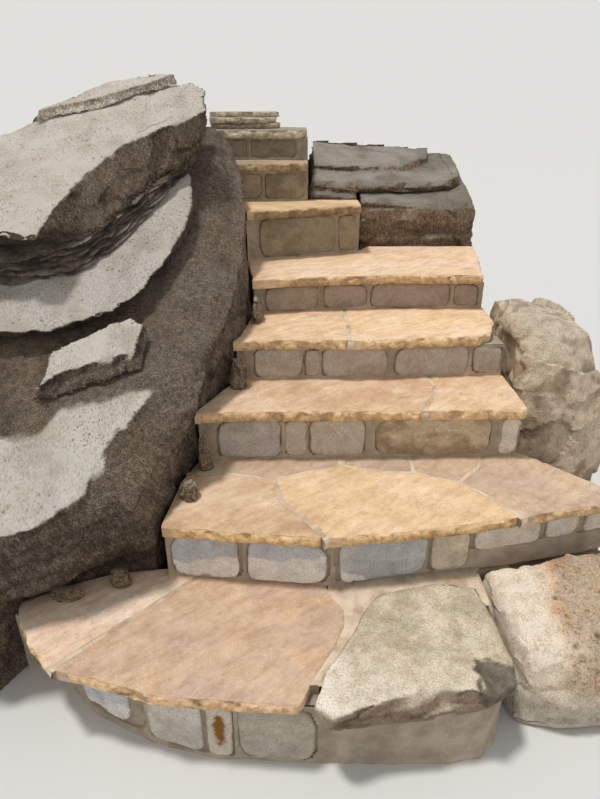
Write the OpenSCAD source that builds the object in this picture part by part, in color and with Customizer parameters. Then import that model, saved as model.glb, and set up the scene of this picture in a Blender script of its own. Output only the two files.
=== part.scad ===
// Outdoor stone steps: ten flagstone treads on rough stone risers, climbing between a bedded
// rock outcrop on the left and boulders and a rock ledge on the right. All sizes in millimetres.
// X runs to the right, Y uphill and Z up, with Y counted from the first nose while the pieces are
// drawn. They are then moved to their place, with the origin on the ground under the first tread.

/* [Rises] */
// Rise of the first step, from the ground
rise_1 = 265; // [240:1:285]
// Rise of the second step
rise_2 = 205; // [190:1:220]
// Rise of the third step
rise_3 = 200; // [185:1:215]
// Rise of the fourth step
rise_4 = 165; // [150:1:180]
// Rise of the fifth step
rise_5 = 150; // [140:1:165]
// Rise of the sixth step
rise_6 = 225; // [210:1:240]
// Rise of the seventh step
rise_7 = 175; // [160:1:190]
// Rise of the eighth step
rise_8 = 140; // [125:1:155]

/* [Goings] */
// From the first nose to the middle of the second
going_1 = 400; // [380:1:420]
// From the second nose to the third
going_2 = 440; // [420:1:460]
// From the third nose to the fourth
going_3 = 270; // [255:1:285]
// From the fourth nose to the fifth
going_4 = 370; // [350:1:390]
// From the fifth nose to the sixth
going_5 = 340; // [325:1:355]
// From the sixth nose to the seventh
going_6 = 260; // [245:1:275]
// From the seventh nose to the eighth
going_7 = 230; // [215:1:245]
// From the eighth nose to the ninth
going_8 = 210; // [195:1:225]
// From the ninth nose to the tenth
going_9 = 170; // [155:1:185]
// Depth of the top landing behind the tenth nose
landing = 210; // [190:1:230]

/* [Flagstones] */
// Thickness of a tread flag
flag_t = 38; // [30:1:45]
// Thickness of the thin ledge slabs at the top
ledge_t = 28; // [22:1:34]
// Width of a pointed joint between flags
joint_w = 16; // [10:1:22]
// Depth of the pointing below the flag tops
joint_sink = 6; // [3:1:10]
// How far a nose overhangs its riser
overhang = 20; // [12:1:28]
// How far a flag runs in under the riser above
bearing = 30; // [20:1:40]

/* [Riser stones] */
// Depth of a riser stone, front to back
stone_d = 90; // [75:1:110]
// How far the stones stand proud of the mortar
stone_proud = 9; // [5:1:14]
// Bed of mortar under a riser stone
bed_t = 9; // [6:1:12]
// Mortar between a riser stone and the flag above
head_t = 7; // [4:1:12]

/* [Walls] */
// Thickness of the rubble facing of the hidden sides
wall_t = 100; // [80:1:120]
// Gap between the steps and the outcrop
rock_gap = 5; // [3:1:8]

/* [Outcrop] */
// Reach of the outcrop to the left of the middle of the flight
outcrop_reach = 1520; // [1470:1:1570]
// Height of the lowest bedding plane above the ground at the front of the outcrop
bed_front_h = 600; // [580:1:640]
// Rise of the bedding for each metre uphill
bed_rise = 530; // [510:1:545]
// Thickness of the middle bed
middle_bed_t = 90; // [75:1:105]
// Thickness of the crumbled thin beds
thin_beds_t = 70; // [55:1:85]
// Thickness of the thick upper bed
upper_bed_t = 150; // [130:1:170]
// Thickness of the cap bed
cap_bed_t = 42; // [32:1:52]

/* [Boulders] */
// Height of the boulder slab that ends the first tread, above the ground
slab_top = 278; // [265:1:295]
// Thickness of that slab
slab_t = 88; // [75:1:100]
// Height of the porous boulder on the right of the first step
porous_h = 305; // [285:1:325]
// Height of the boulder beside the fourth step
side_boulder_h = 880; // [840:1:920]
// Width of that boulder
side_boulder_w = 448; // [420:1:480]
// Height of the rock ledge's front above the fifth tread
ledge_h = 225; // [210:1:240]
// Thickness of the upper beds of the rock ledge
ledge_bed_t = 50; // [40:1:60]

/* [Hidden] */

// Levels of the tread tops, with the ground as level 0
rises = [rise_1, rise_2, rise_3, rise_4, rise_5, rise_6, rise_7, rise_8];
function level(k) = k < 1 ? 0 : level(k - 1) + rises[k - 1];

// Distance of each nose from the first, uphill
goings = [going_1, going_2, going_3, going_4, going_5, going_6, going_7, going_8, going_9];
function nose(k) = k < 2 ? 0 : nose(k - 1) + goings[k - 2];
rear = nose(10) + landing;

// Colours of the stones and the mortar
flag_tan = [0.74, 0.60, 0.43];
flag_brown = [0.64, 0.50, 0.37];
riser_grey = [0.62, 0.60, 0.55];
mortar_grey = [0.60, 0.57, 0.51];
outcrop_grey = [0.50, 0.47, 0.42];
slab_green = [0.58, 0.57, 0.48];
porous_buff = [0.78, 0.65, 0.49];

// Repeatable noise between -1 and 1
function noise(i, seed) = let (v = sin(i * 78.233 + seed * 37.719) * 43758.5453) 2 * (v - floor(v)) - 1;

// Height of y on a line of points that go uphill, and the straight line between two points
function mix(a, b, t) = a + (b - a) * t;
function x_on(line, y, i = 0) =
    i >= len(line) - 2 || y <= line[i + 1][1]
        ? mix(line[i][0], line[i + 1][0], (y - line[i][1]) / (line[i + 1][1] - line[i][1]))
        : x_on(line, y, i + 1);
function y_on(line, x, i = 0) =
    x <= line[0][0] ? line[0][1] :
    i >= len(line) - 1 ? line[i][1] :
    x <= line[i + 1][0]
        ? mix(line[i][1], line[i + 1][1], (x - line[i][0]) / (line[i + 1][0] - line[i][0]))
        : y_on(line, x, i + 1);

// Foot of the outcrop beside the first step, then beside the flight, going uphill
front_foot = [[-1075, 345], [-940, 425], [-800, 482]];
side_foot = [[-660, nose(2) + 100], [-610, nose(3) - 140], [-582, nose(3) - 45], [-550, nose(3) + 40],
    [-435, nose(4) + 40], [-400, nose(5) - 40], [-455, nose(6)], [-560, nose(7) + 30],
    [-650, nose(8) + 110], [-745, rear]];
function foot_x(y) = x_on(side_foot, y) + rock_gap;

// Right side of the flight, going uphill
side_line = [[595, nose(3) + 40], [595, nose(5) + 20], [700, nose(7) + 30], [760, rear]];

// Nose lines in plan, left to right; a left end given by its place on the foot of the outcrop
function at_foot(y) = [foot_x(y), y];
function nose_line(k) =
    k == 1 ? [[-1048, 322], [-965, 185], [-872, 108], [-560, 25], [-190, 0], [400, 0]] :
    k == 2 ? [[-626, nose(2) + 51], [-120, nose(2)], [500, nose(2) + 100], [890, nose(2) + 200]] :
    k == 3 ? [at_foot(nose(3) - 25), [-447, nose(3) - 8], [240, nose(3) + 8], [603, nose(3) + 12]] :
    k == 4 ? [at_foot(nose(4) - 18), [-8, nose(4) - 4], [490, nose(4) + 37], [549, nose(4) + 93]] :
    k == 5 ? [at_foot(nose(5) - 68), [-200, nose(5) - 22], [226, nose(5) + 23], [580, nose(5) + 17]] :
    k == 6 ? [at_foot(nose(6) - 80), [90, nose(6) + 125]] :
    k == 7 ? [at_foot(nose(7) - 30), [-150, nose(7) + 10]] :
    k == 8 ? [at_foot(nose(8) + 20), [-205, nose(8) - 20]] :
    k == 9 ? [[-690, nose(9)], [-390, nose(9)]] : [[-710, nose(10)], [-330, nose(10) + 10]];

// Faces of the riser stones in plan, left to right
function riser_line(k) =
    k == 1 ? [[-1000, 350], [-905, 262], [-800, 165], [-620, 82], [-440, 36], [-150, 18], [400, 18]] :
    k == 4 ? [[-440, nose(4) - 18 + overhang], [600, nose(4) + 30 + overhang]] :
    [for (p = nose_line(k)) p + [0, overhang]];

// Region of the flight between the outcrop and its right side, drawn in at each side
module strip(left_in, right_in) {
    polygon(concat(
        [for (p = side_foot) p + [left_in, 0]],
        [for (i = [len(side_line) - 1 : -1 : 0]) side_line[i] - [right_in, 0]]));
}

// Region uphill of a riser's face, set back by d
far = 3000;
module behind(k, d) {
    line = riser_line(k);
    last = line[len(line) - 1];
    polygon(concat([[-far, line[0][1] + d]], [for (p = line) p + [0, d]],
        [[far, last[1] + d], [far, rear], [-far, rear]]));
}

// Triangles that fill a flat outline, cut off one convex corner at a time
function cross2(a, b) = a[0] * b[1] - a[1] * b[0];
function turn(a, b, c) = cross2(b - a, c - b);
function covers(a, b, c, p) = turn(a, b, p) >= 0 && turn(b, c, p) >= 0 && turn(c, a, p) >= 0;
function is_ear(pts, ids, i) =
    let (
        n = len(ids),
        before = ids[(i + n - 1) % n],
        after = ids[(i + 1) % n],
        a = pts[before],
        b = pts[ids[i]],
        c = pts[after]
    )
    turn(a, b, c) > 1
        && len([for (k = ids) if (k != before && k != ids[i] && k != after && covers(a, b, c,
            pts[k])) k]) == 0;
function first_ear(pts, ids, i = 0) =
    i >= len(ids) - 1 || is_ear(pts, ids, i) ? i : first_ear(pts, ids, i + 1);
function triangles(pts, ids) =
    len(ids) < 4 ? [ids] :
    let (n = len(ids), i = first_ear(pts, ids))
    concat([[ids[(i + n - 1) % n], ids[i], ids[(i + 1) % n]]],
        triangles(pts, [for (k = [0 : n - 1]) if (k != i) ids[k]]));

// Lofts of rings with the same number of points, each ring anticlockwise from above
module loft(rings) {
    n = len(rings[0]);
    m = len(rings);
    ids = [for (i = [0 : n - 1]) i];
    bottom = triangles([for (p = rings[0]) [p[0], p[1]]], ids);
    top = triangles([for (p = rings[m - 1]) [p[0], p[1]]], ids);
    polyhedron(
        points = [for (r = rings, p = r) p],
        faces = concat(
            bottom,
            [for (t = top) [for (i = [2 : -1 : 0]) (m - 1) * n + t[i]]],
            [for (r = [0 : m - 2], i = [0 : n - 1]) let (j = (i + 1) % n)
                each [[r * n + i, (r + 1) * n + i, (r + 1) * n + j],
                    [r * n + i, (r + 1) * n + j, r * n + j]]]),
        convexity = 6);
}

// A ring with each side cut into m lengths and its points moved about by up to amp
function rough_ring(pts, m, amp, seed) =
    [for (i = [0 : len(pts) - 1], j = [0 : m - 1])
        let (k = i * m + j)
        mix(pts[i], pts[(i + 1) % len(pts)], j / m)
            + [amp * noise(k, seed), amp * noise(k, seed + 1), 0]];

// Corners of a flag: a place, the kind of the edge that follows it and how far that edge bows out.
// An n edge is an exposed nose, a j edge a pointed joint and a b edge is buried under a riser
function corner(p, kind, bow = 0) = [p[0], p[1], kind, bow];
function unit(v) = v / norm(v);
function out_normal(a, b) = let (d = unit(b - a)) [d[1], -d[0]];
function meet(p, u, q, v) =
    let (c = cross2(u, v))
    abs(c) < 0.001 ? q : p + u * cross2(q - p, v) / c;
function inset(pts, kinds) =
    let (n = len(pts))
    [for (i = [0 : n - 1])
        let (
            h = (i + n - 1) % n,
            j = (i + 1) % n,
            gap_a = kinds[h] == "j" ? joint_w / 2 : 0,
            gap_b = kinds[i] == "j" ? joint_w / 2 : 0,
            p = pts[i] - gap_a * out_normal(pts[h], pts[i]),
            q = pts[i] - gap_b * out_normal(pts[i], pts[j])
        )
        meet(p, unit(pts[i] - pts[h]), q, unit(pts[j] - pts[i]))];
nose_cut = 70;
function flag_ring(pts, corners, z, amp, drawn_in, seed) =
    [for (i = [0 : len(pts) - 1])
        let (
            a = pts[i],
            b = pts[(i + 1) % len(pts)],
            m = corners[i][2] == "n" ? max(2, round(norm(b - a) / nose_cut)) : 1,
            out = out_normal(a, b)
        )
        for (j = [0 : m - 1])
            let (
                t = j / m,
                push = 4 * corners[i][3] * t * (1 - t) + amp * noise(i * 31 + j, seed) - drawn_in,
                p = mix(a, b, t) + (j == 0 ? 0 : push) * out
            )
            [p[0], p[1], z]];
module flag(corners, z, t, seed) {
    pts = inset([for (c = corners) [c[0], c[1]]], [for (c = corners) c[2]]);
    loft([
        flag_ring(pts, corners, z, 5, 5, seed),
        flag_ring(pts, corners, z + 0.55 * t, 4, 0, seed + 7),
        flag_ring(pts, corners, z + t, 3, 6, seed + 3)
    ]);
}

// Corners along the back of a flag, under riser k, from right to left
function back_y(k, x) = y_on(riser_line(k), x) + bearing;
function at_back(k, x) = [x, back_y(k, x)];
function back_run(k, xa, xb, end_kind) = concat(
    [corner(at_back(k, xa), "b")],
    [for (i = [len(riser_line(k)) - 1 : -1 : 0])
        let (x = riser_line(k)[i][0])
        if (x < xa - 2 && x > xb + 2) corner(at_back(k, x), "b")],
    [corner(at_back(k, xb), end_kind)]);

// Corners along the outcrop, from the back of a flag to its nose
function foot_run(ya, yb) =
    [for (i = [len(side_foot) - 1 : -1 : 0])
        let (y = side_foot[i][1])
        if (y < ya - 4 && y > yb + 4) corner(at_foot(y), "b")];
function back_left(k) = foot_x(riser_line(k)[0][1] + bearing);

// Pointing along one joint, from a to b, which it reaches by the share given
module pointing(a, b, z, share = 1) {
    side = out_normal(a, b) * joint_w / 2;
    end = mix(a, b, share);
    translate([0, 0, z - flag_t])
        linear_extrude(flag_t - joint_sink)
            polygon([a - side, a + side, end + side, end - side]);
}

// Riser stones: a rounded outline in elevation, w wide and h high, seen from the front
function stone_outline(w, h, seed) =
    let (r = min(w, h) * 0.22)
    [for (c = [0 : 3], s = [0 : 2])
        let (
            corner = [c == 1 || c == 2 ? 1 : -1, c > 1 ? 1 : -1],
            turn = 45 * s + [180, 270, 0, 90][c],
            rr = r * (1 + 0.5 * noise(c, seed)),
            middle = [corner[0] * (w / 2 - rr), corner[1] * (h / 2 - rr)],
            wobble = 0.02 * min(w, h) * noise(c * 3 + s, seed + 5)
        )
        middle + (rr - abs(wobble)) * [cos(turn), sin(turn)]];

// Each stone stands on its riser's line between two places, xa and xb, from z0 to z1
module on_riser(k, xa, xb, z0, z1) {
    a = [xa, y_on(riser_line(k), xa)];
    b = [xb, y_on(riser_line(k), xb)];
    translate([(a[0] + b[0]) / 2, (a[1] + b[1]) / 2, (z0 + z1) / 2])
        rotate([0, 0, atan2(b[1] - a[1], b[0] - a[0])])
            rotate([90, 0, 0])
                children();
}
function stone_w(k, s) =
    norm([s[1] - s[0], y_on(riser_line(k), s[1]) - y_on(riser_line(k), s[0])]);
function stone_z0(k, s) = level(k - 1) + max(bed_t, s[2]);
function stone_z1(k) = level(k) - flag_t - head_t;
bevel = 9;
module riser_stone(k, s, seed) {
    pts = stone_outline(stone_w(k, s), stone_z1(k) - stone_z0(k, s), seed);
    on_riser(k, s[0], s[1], stone_z0(k, s), stone_z1(k))
        loft([
            [for (p = pts) [p[0], p[1], -stone_d]],
            [for (p = pts) [p[0], p[1], -bevel]],
            [for (p = pts) let (q = p - bevel * unit(p)) [q[0], q[1], 0]]
        ]);
}
module riser_pocket(k, s, seed) {
    on_riser(k, s[0], s[1], stone_z0(k, s), stone_z1(k))
        translate([0, 0, -stone_d])
            linear_extrude(stone_d + 2 * overhang)
                polygon(stone_outline(stone_w(k, s), stone_z1(k) - stone_z0(k, s), seed));
}

// Stones of each riser: left end, right end, and the mortar below a stone that stands high
function riser_stones(k) =
    k == 1 ? [[-852, -680, 30], [-622, -466, 12], [-446, -388, 6], [-364, -160, 8]] :
    k == 2 ? [[-610, -392, 6], [-368, -118, 0], [-76, 204, 0], [222, 342, 6], [362, 584, 80],
        [602, 722, 86], [744, 850, 84]] :
    k == 3 ? [[-495, -268, 0], [-250, -178, 0], [-166, 36, 4], [76, 492, 8], [530, 592, 0]] :
    k == 4 ? [[-376, -186, 0], [-174, -128, 0], [-112, 140, 6], [172, 458, 8], [478, 590, 0]] :
    k == 5 ? [[-345, -120, 0], [-98, 92, 0], [110, 452, 0], [468, 572, 0]] :
    k == 6 ? [[-385, -25, 0], [-8, 72, 0]] :
    k == 7 ? [[-530, -388, 0], [-372, -175, 0]] : [[-585, -475, 0], [-458, -225, 0]];

module riser(k) {
    color(riser_grey)
        for (i = [0 : len(riser_stones(k)) - 1])
            riser_stone(k, riser_stones(k)[i], k * 17 + i);
}
module pockets(k) {
    for (i = [0 : len(riser_stones(k)) - 1])
        riser_pocket(k, riser_stones(k)[i], k * 17 + i);
}

// Mortared rubble core of one course, pocketed for its riser stones. It stands on the course below,
// behind the flags of that course
module course(k) {
    color(mortar_grey)
        difference() {
            translate([0, 0, k == 1 ? 0 : level(k - 1) - flag_t])
                linear_extrude(level(k) - level(k - 1) - (k == 1 ? flag_t : 0))
                    course_plan(k);
            if (k > 1)
                translate([0, 0, level(k - 1) - flag_t - 1])
                    linear_extrude(flag_t + 1)
                        front_of(k, bearing);
            if (k == 1)
                translate([0, 0, slab_top - slab_t])
                    linear_extrude(slab_t)
                        slab_seat();
            pockets(k);
        }
}

// Region in front of a riser's face, set back by d
module front_of(k, d) {
    difference() {
        translate([-far, -far])
            square([2 * far, 3 * far]);
        behind(k, d);
    }
}

// Plan of a course: its front, its right end, its right side behind the facing, the rear and the
// foot of the outcrop
function right_end(k) = k < 6 ? 595 : k == 6 ? 90 : -160;
function notch_y(k) = y_on(riser_line(max(k, 3)), 595) + stone_d + stone_proud;
function course_front(k) =
    [for (p = riser_line(k))
        if (k < 3 ? p[0] > -1010 && p[0] < 860 : p[0] > foot_x(p[1]) + 20 && p[0] < right_end(k) - 10)
            p + [0, stone_proud]];
// Rounded right front corner of the first step, under the boulder slab
core_corner = [[210, 27], [300, 46], [350, 92], [372, 160]];
function course_right(k) =
    k == 1 ? concat(core_corner, [[372, nose(2) + 90], [490, nose(2) + 125]]) : [];
function wing_end(k) =
    k < 3 ? concat(k == 1 ? [[500, nose(2) + 129]] : [],
        [[862, y_on(riser_line(2), 862) + stone_proud], [640, nose(2) + 458],
            [right_end(3), nose(3) + 38]]) :
        [[right_end(k), y_on(riser_line(k), right_end(k)) + stone_proud]];
function facing_side(k) =
    k < 6 ? concat([[right_end(k), notch_y(k)], [right_end(k) - wall_t, notch_y(k)]],
        [for (p = side_line) if (p[1] > notch_y(k) + 20) p - [wall_t, 0]]) :
        [[right_end(k), rear]];
function outcrop_side(k) =
    let (y = riser_line(k)[0][1] + stone_proud)
    concat(
        [for (i = [len(side_foot) - 1 : -1 : 0])
            if (side_foot[i][1] > y + (k == 2 ? 60 : 12)) at_foot(side_foot[i][1])],
        k == 1 ? [for (i = [2 : -1 : 0]) front_foot[i] + rock_gap * [0.5, -0.9]] :
        k == 2 ? [] : [at_foot(y)]);
module course_plan(k) {
    front = course_front(k);
    polygon(concat(
        k == 1 ? [for (i = [0 : len(front) - 2]) front[i]] : front,
        course_right(k), wing_end(k), facing_side(k), outcrop_side(k)));
}

// Treads
wedge_back = [-505, back_y(2, -505)];
wedge_nose = [-872, 108];
slab_side = [[-190, 0], [-165, 62], [-100, 173], [-62, 260], [-60, 320], [-95, 372]];
module tread_1() {
    z = level(1) - flag_t;
    color(flag_tan)
        flag(concat(
            [corner(wedge_nose, "j"), corner(wedge_back, "b"), corner(at_back(2, -625), "b")],
            [for (i = [2 : -1 : 1]) corner(front_foot[i] + rock_gap * [0.5, -1], "b")],
            [corner([-1052, 352], "b"), corner([-1048, 322], "n", 22)]),
            z, flag_t, 11);
    color(flag_brown)
        flag(concat(
            [for (p = slab_side) corner(p, "j")],
            back_run(2, -120, wedge_back[0], "j"),
            [corner(wedge_nose, "n", 6), corner([-560, 25], "n", 8)]),
            z, flag_t, 12);
}

// Joint corners of the crazy flags of the second tread
function t2(dx, dy) = [dx, nose(2) + dy];
t2_nose_a = t2(-120, 0);
t2_nose_b = t2(500, 100);
t2_left = t2(-257, 187);
t2_fork = t2(-292, 320);
t2_side = [foot_x(nose(2) + 351), nose(2) + 351];
t2_peak = t2(-55, 413);
t2_mid_a = t2(100, 363);
t2_mid_b = t2(201, 363);
t2_tip = t2(344, 300);
t2_right_a = t2(412, 233);
t2_right_b = t2(461, 162);
t2_end = t2(437, 399);
module tread_2() {
    z = level(2) - flag_t;
    color(flag_brown)
        flag(concat(
            [corner(nose_line(2)[0], "n", 6), corner(t2_nose_a, "j"), corner(t2_left, "j"),
                corner(t2_fork, "j"),
                corner(t2(-430, 351), "j"), corner(t2_side, "b")],
            foot_run(nose(2) + 351, nose(2) + 120)),
            z, flag_t, 21);
    color(flag_tan)
        flag([corner(t2_nose_a, "n", 14), corner(t2_nose_b, "j"), corner(t2_right_b, "j"),
            corner(t2_right_a, "j"), corner(t2_tip, "j"), corner(t2_mid_b, "j"), corner(t2_mid_a, "j"),
            corner(t2_peak, "j"), corner(t2_fork, "j"), corner(t2_left, "j")],
            z, flag_t, 22);
    color(flag_brown)
        flag(concat(
            [corner(t2_side, "j"), corner(t2(-430, 351), "j"), corner(t2_fork, "j"),
                corner(t2_peak, "j")],
            back_run(3, -57, back_left(3), "b"),
            foot_run(back_y(3, back_left(3)), t2_side[1])),
            z, flag_t, 23);
    color(flag_tan)
        flag(concat(
            [corner(t2_peak, "j"), corner(t2_mid_a, "j"), corner(t2_mid_b, "j")],
            back_run(3, 204, -57, "j")),
            z, flag_t, 24);
    color(flag_brown)
        flag(concat(
            [corner(t2_mid_b, "j"), corner(t2_tip, "j"), corner(t2_end, "j")],
            back_run(3, 492, 204, "j")),
            z, flag_t, 25);
    color(flag_tan)
        flag(concat(
            [corner(t2_nose_b, "n", 4), corner(t2(885, 200), "n", 6), corner(t2(650, 466), "b")],
            back_run(3, 594, 492, "j"),
            [corner(t2_end, "j"), corner(t2_tip, "j"), corner(t2_right_a, "j"), corner(t2_right_b, "j")]),
            z, flag_t, 26);
}

// Joint corners of the third tread, and the joint of the fourth
t3_a = [240, nose(3) + 8];
t3_b = [262, nose(3) + 64];
t3_c = [305, nose(3) + 147];
t3_d = [314, nose(3) + 199];
t4_a = [-8, nose(4) - 4];
module tread_3() {
    z = level(3) - flag_t;
    color(flag_tan)
        flag(concat(
            [corner(nose_line(3)[0], "n", 4), corner(nose_line(3)[1], "n", 6), corner(t3_a, "j"),
                corner(t3_b, "j"), corner(t3_c, "j"), corner(t3_d, "j")],
            back_run(4, 308, back_left(4), "b"),
            foot_run(back_y(4, back_left(4)), nose(3) - 25)),
            z, flag_t, 31);
    color(flag_tan)
        flag(concat(
            [corner(t3_a, "n", 5), corner(nose_line(3)[3], "b")],
            back_run(4, 603, 308, "j"),
            [corner(t3_d, "j"), corner(t3_c, "j"), corner(t3_b, "j")]),
            z, flag_t, 32);
}
module tread_4() {
    z = level(4) - flag_t;
    color(flag_tan)
        flag(concat(
            [corner(nose_line(4)[0], "n", -6), corner(t4_a, "j")],
            back_run(5, -6, back_left(5), "b"),
            foot_run(back_y(5, back_left(5)), nose(4) - 18)),
            z, flag_t, 41);
    color(flag_tan)
        flag(concat(
            [corner(t4_a, "n", 5), corner(nose_line(4)[2], "n", 4), corner(nose_line(4)[3], "n", 6),
                corner([597, nose(4) + 248], "b")],
            back_run(5, 600, -6, "j")),
            z, flag_t, 42);
}
module tread_5() {
    color(flag_tan)
        flag(concat(
            [for (i = [0 : 2]) corner(nose_line(5)[i], "n", 4)],
            [corner(nose_line(5)[3], "n", 5), corner([640, nose(5) + 320], "b"),
                corner([690, nose(6) + 280], "b"), corner([150, nose(6) + 280], "b")],
            back_run(6, 97, back_left(6), "b"),
            foot_run(back_y(6, back_left(6)), nose(5) - 68)),
            level(5) - flag_t, flag_t, 51);
}
module tread_6() {
    color(flag_tan)
        flag(concat(
            [corner(nose_line(6)[0], "n", 6), corner(nose_line(6)[1], "b"),
                corner([90, back_y(7, -157)], "b")],
            back_run(7, -157, back_left(7), "b"),
            foot_run(back_y(7, back_left(7)), nose(6) - 80)),
            level(6) - flag_t, flag_t, 61);
}
module tread_7() {
    color(flag_brown)
        flag(concat(
            [corner(nose_line(7)[0], "n", 5), corner([-162, nose(7) + 10], "b")],
            back_run(8, -162, back_left(8), "b"),
            foot_run(back_y(8, back_left(8)), nose(7) - 30)),
            level(7) - flag_t, flag_t, 71);
}
module tread_8() {
    color(flag_brown)
        flag([corner(nose_line(8)[0], "n", 5), corner(nose_line(8)[1], "n", 2),
            corner([-165, nose(8) + 60], "b"),
            corner([-165, rear - 10], "b"), corner([-735, rear - 10], "b"),
                corner([-640, nose(8) + 90], "b")],
            level(8) - flag_t, flag_t, 81);
}
module step_9_riser_slab() {
    color(flag_brown)
        flag([corner([-680, nose(9) + 15], "n", 6), corner([-405, nose(9) + 10], "n", 5),
            corner([-330, nose(9) + 90], "n", 5), corner([-320, rear - 15], "b"),
                corner([-730, rear - 15], "b")],
            level(8), ledge_t, 91);
}
module tread_9() {
    color(flag_brown)
        flag([corner([-685, nose(9)], "n", 8), corner([-390, nose(9)], "n", 5),
            corner([-345, nose(9) + 110], "n", 4), corner([-340, rear - 20], "b"),
                corner([-728, rear - 20], "b")],
            level(8) + ledge_t, ledge_t, 92);
}
module tread_10() {
    color(flag_tan)
        flag([corner([-706, nose(10)], "n", 8), corner([-350, nose(10) + 10], "n", 5),
            corner([-325, rear - 25], "b"), corner([-725, rear - 25], "b")],
            level(8) + 2 * ledge_t, ledge_t, 93);
}

// Mortar between the flags, and between the first riser's slab and the riser behind it
module flag_pointing() {
    color(mortar_grey) {
        pointing(wedge_nose, wedge_back, level(1), 0.95);
        pointing(t2_nose_a, t2_left, level(2));
        pointing(t2_left, t2_fork, level(2));
        pointing(t2_side, t2(-430, 351), level(2));
        pointing(t2(-430, 351), t2_fork, level(2));
        pointing(t2_fork, t2_peak, level(2));
        pointing(t2_peak, t2_mid_a, level(2));
        pointing(t2_mid_a, t2_mid_b, level(2));
        pointing(t2_mid_b, t2_tip, level(2));
        pointing(t2_tip, t2_right_a, level(2));
        pointing(t2_right_a, t2_right_b, level(2));
        pointing(t2_right_b, t2_nose_b, level(2));
        pointing(t2_peak, at_back(3, -57), level(2), 0.9);
        pointing(t2_mid_b, at_back(3, 204), level(2), 0.9);
        pointing(t2_tip, t2_end, level(2));
        pointing(t2_end, at_back(3, 492), level(2), 0.9);
        pointing(t3_a, t3_b, level(3));
        pointing(t3_b, t3_c, level(3));
        pointing(t3_c, t3_d, level(3));
        pointing(t3_d, at_back(4, 308), level(3), 0.9);
        pointing(t4_a, at_back(5, -6), level(4), 0.9);
        translate([0, 0, level(1) - flag_t])
            linear_extrude(flag_t - joint_sink)
                slab_bedding();
    }
}
module slab_bedding() {
    difference() {
        polygon(concat(
            [for (i = [1 : len(slab_side) - 1]) slab_side[i] + [-joint_w / 2, 0]],
            [[-120 + joint_w, back_y(2, -120)], at_back(2, 490), [490, nose(2) + 118],
                [372, nose(2) + 88], [372, 160], [350, 92], [300, 46], [210, 26]]));
        slab_seat();
    }
}

// Boulder slab that ends the first tread on the right: its outline at the top, and at the foot of its
// broken front, which leans out over the core
slab_plan = [[-162, -14], [-116, -48], [-8, -8], [94, 24], [166, 42], [250, 34], [300, 10], [367, 60],
    [379, 130], [370, 261], [361, 335], [350, 408], [223, 426], [120, 402], [40, 372], [4, 330],
    [-45, 232], [-82, 163], [-138, 82]];
slab_foot = [[-156, 14], [-122, -26], [-20, -18], [84, -8], [176, 8], [262, 26], [302, 40], [374, 78],
    [382, 140], [372, 262], [362, 338], [350, 400], [222, 420], [122, 396], [44, 368], [6, 326],
    [-44, 232], [-80, 165], [-134, 84]];
slab_middle = [120, 190];
function slab_ring(scale_by, foot, drop, z, seed) =
    [for (i = [0 : len(slab_plan) - 1])
        let (p = mix(slab_middle, mix(slab_plan[i], slab_foot[i], foot), scale_by))
        [p[0] + 3 * noise(i, seed), p[1] + 3 * noise(i, seed + 1), z + drop * noise(i, seed + 2)]];
module slab_seat() {
    polygon([for (p = slab_plan) mix(slab_middle, p, 1.03)]);
    polygon([for (p = slab_foot) mix(slab_middle, p, 1.04)]);
}
module boulder_slab() {
    color(slab_green)
        loft([
            slab_ring(0.93, 1, 0, slab_top - slab_t, 1),
            slab_ring(1, 1, 4, slab_top - 0.72 * slab_t, 2),
            slab_ring(1, 0.6, 4, slab_top - 0.4 * slab_t, 3),
            slab_ring(0.995, 0.1, 3, slab_top - 15, 4),
            slab_ring(0.965, 0, 1, slab_top - 4, 5),
            slab_ring(0.60, 0, 0, slab_top, 6)
        ]);
}

// Boulders that stand on the ground: rings of a plan outline, grown or shrunk about a middle. Their
// tops fall away by the shares given for each millimetre to the right and towards the viewer
module boulder(plan, middle, h, fall, seed, amp, profile) {
    loft([for (i = [0 : len(profile) - 1])
        [for (p = rough_ring([for (q = plan) [q[0], q[1], 0]], 2, i == 0 ? 3 : amp, seed + i))
            let (
                q = mix(middle, [p[0], p[1]], profile[i][0]) + [profile[i][2], profile[i][3]],
                d = q - middle
            )
            [q[0], q[1], profile[i][1] * (h - fall[0] * d[0] + fall[1] * d[1])]]]);
}
module porous_boulder() {
    color(porous_buff)
        boulder(
            [[400, 196], [426, 128], [540, 104], [720, 112], [850, 170], [925, 300],
             [905, nose(2) + 40], [858, nose(2) + 188], [740, nose(2) + 160], [600, nose(2) + 126],
             [500, nose(2) + 100], [377, nose(2) + 80], [383, 360]],
            [640, 320], porous_h, [0.02, 0.14], 3, 4,
            [[0.98, 0, 0, 0], [1, 0.4, 0, 0], [0.98, 0.72, 0, 2], [0.93, 0.9, 0, 4],
             [0.80, 0.98, 0, 6], [0.45, 1, 0, 8]]);
}
side_left = 595;
function side_x(share) = side_left + share * side_boulder_w;
module side_boulder() {
    color(porous_buff)
        boulder(
            [[side_x(0.02), 1015], [side_x(0.26), 950], [side_x(0.64), 942], [side_x(0.92), 1020],
             [side_x(0.98), 1160], [side_x(0.96), 1390], [side_x(0.80), 1545], [side_x(0.42), 1600],
             [side_x(0.08), 1565], [side_x(0.015), 1300]],
            [side_x(0.5), 1270], side_boulder_h, [0.13, 0], 5, 12,
            [[0.99, 0, 0, 0], [0.985, 0.25, 0, 0], [0.985, 0.5, 0, 14], [0.93, 0.72, -4, 44],
             [0.88, 0.86, -12, 72], [0.76, 0.96, -24, 100], [0.45, 1, -30, 116]]);
}

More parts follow.
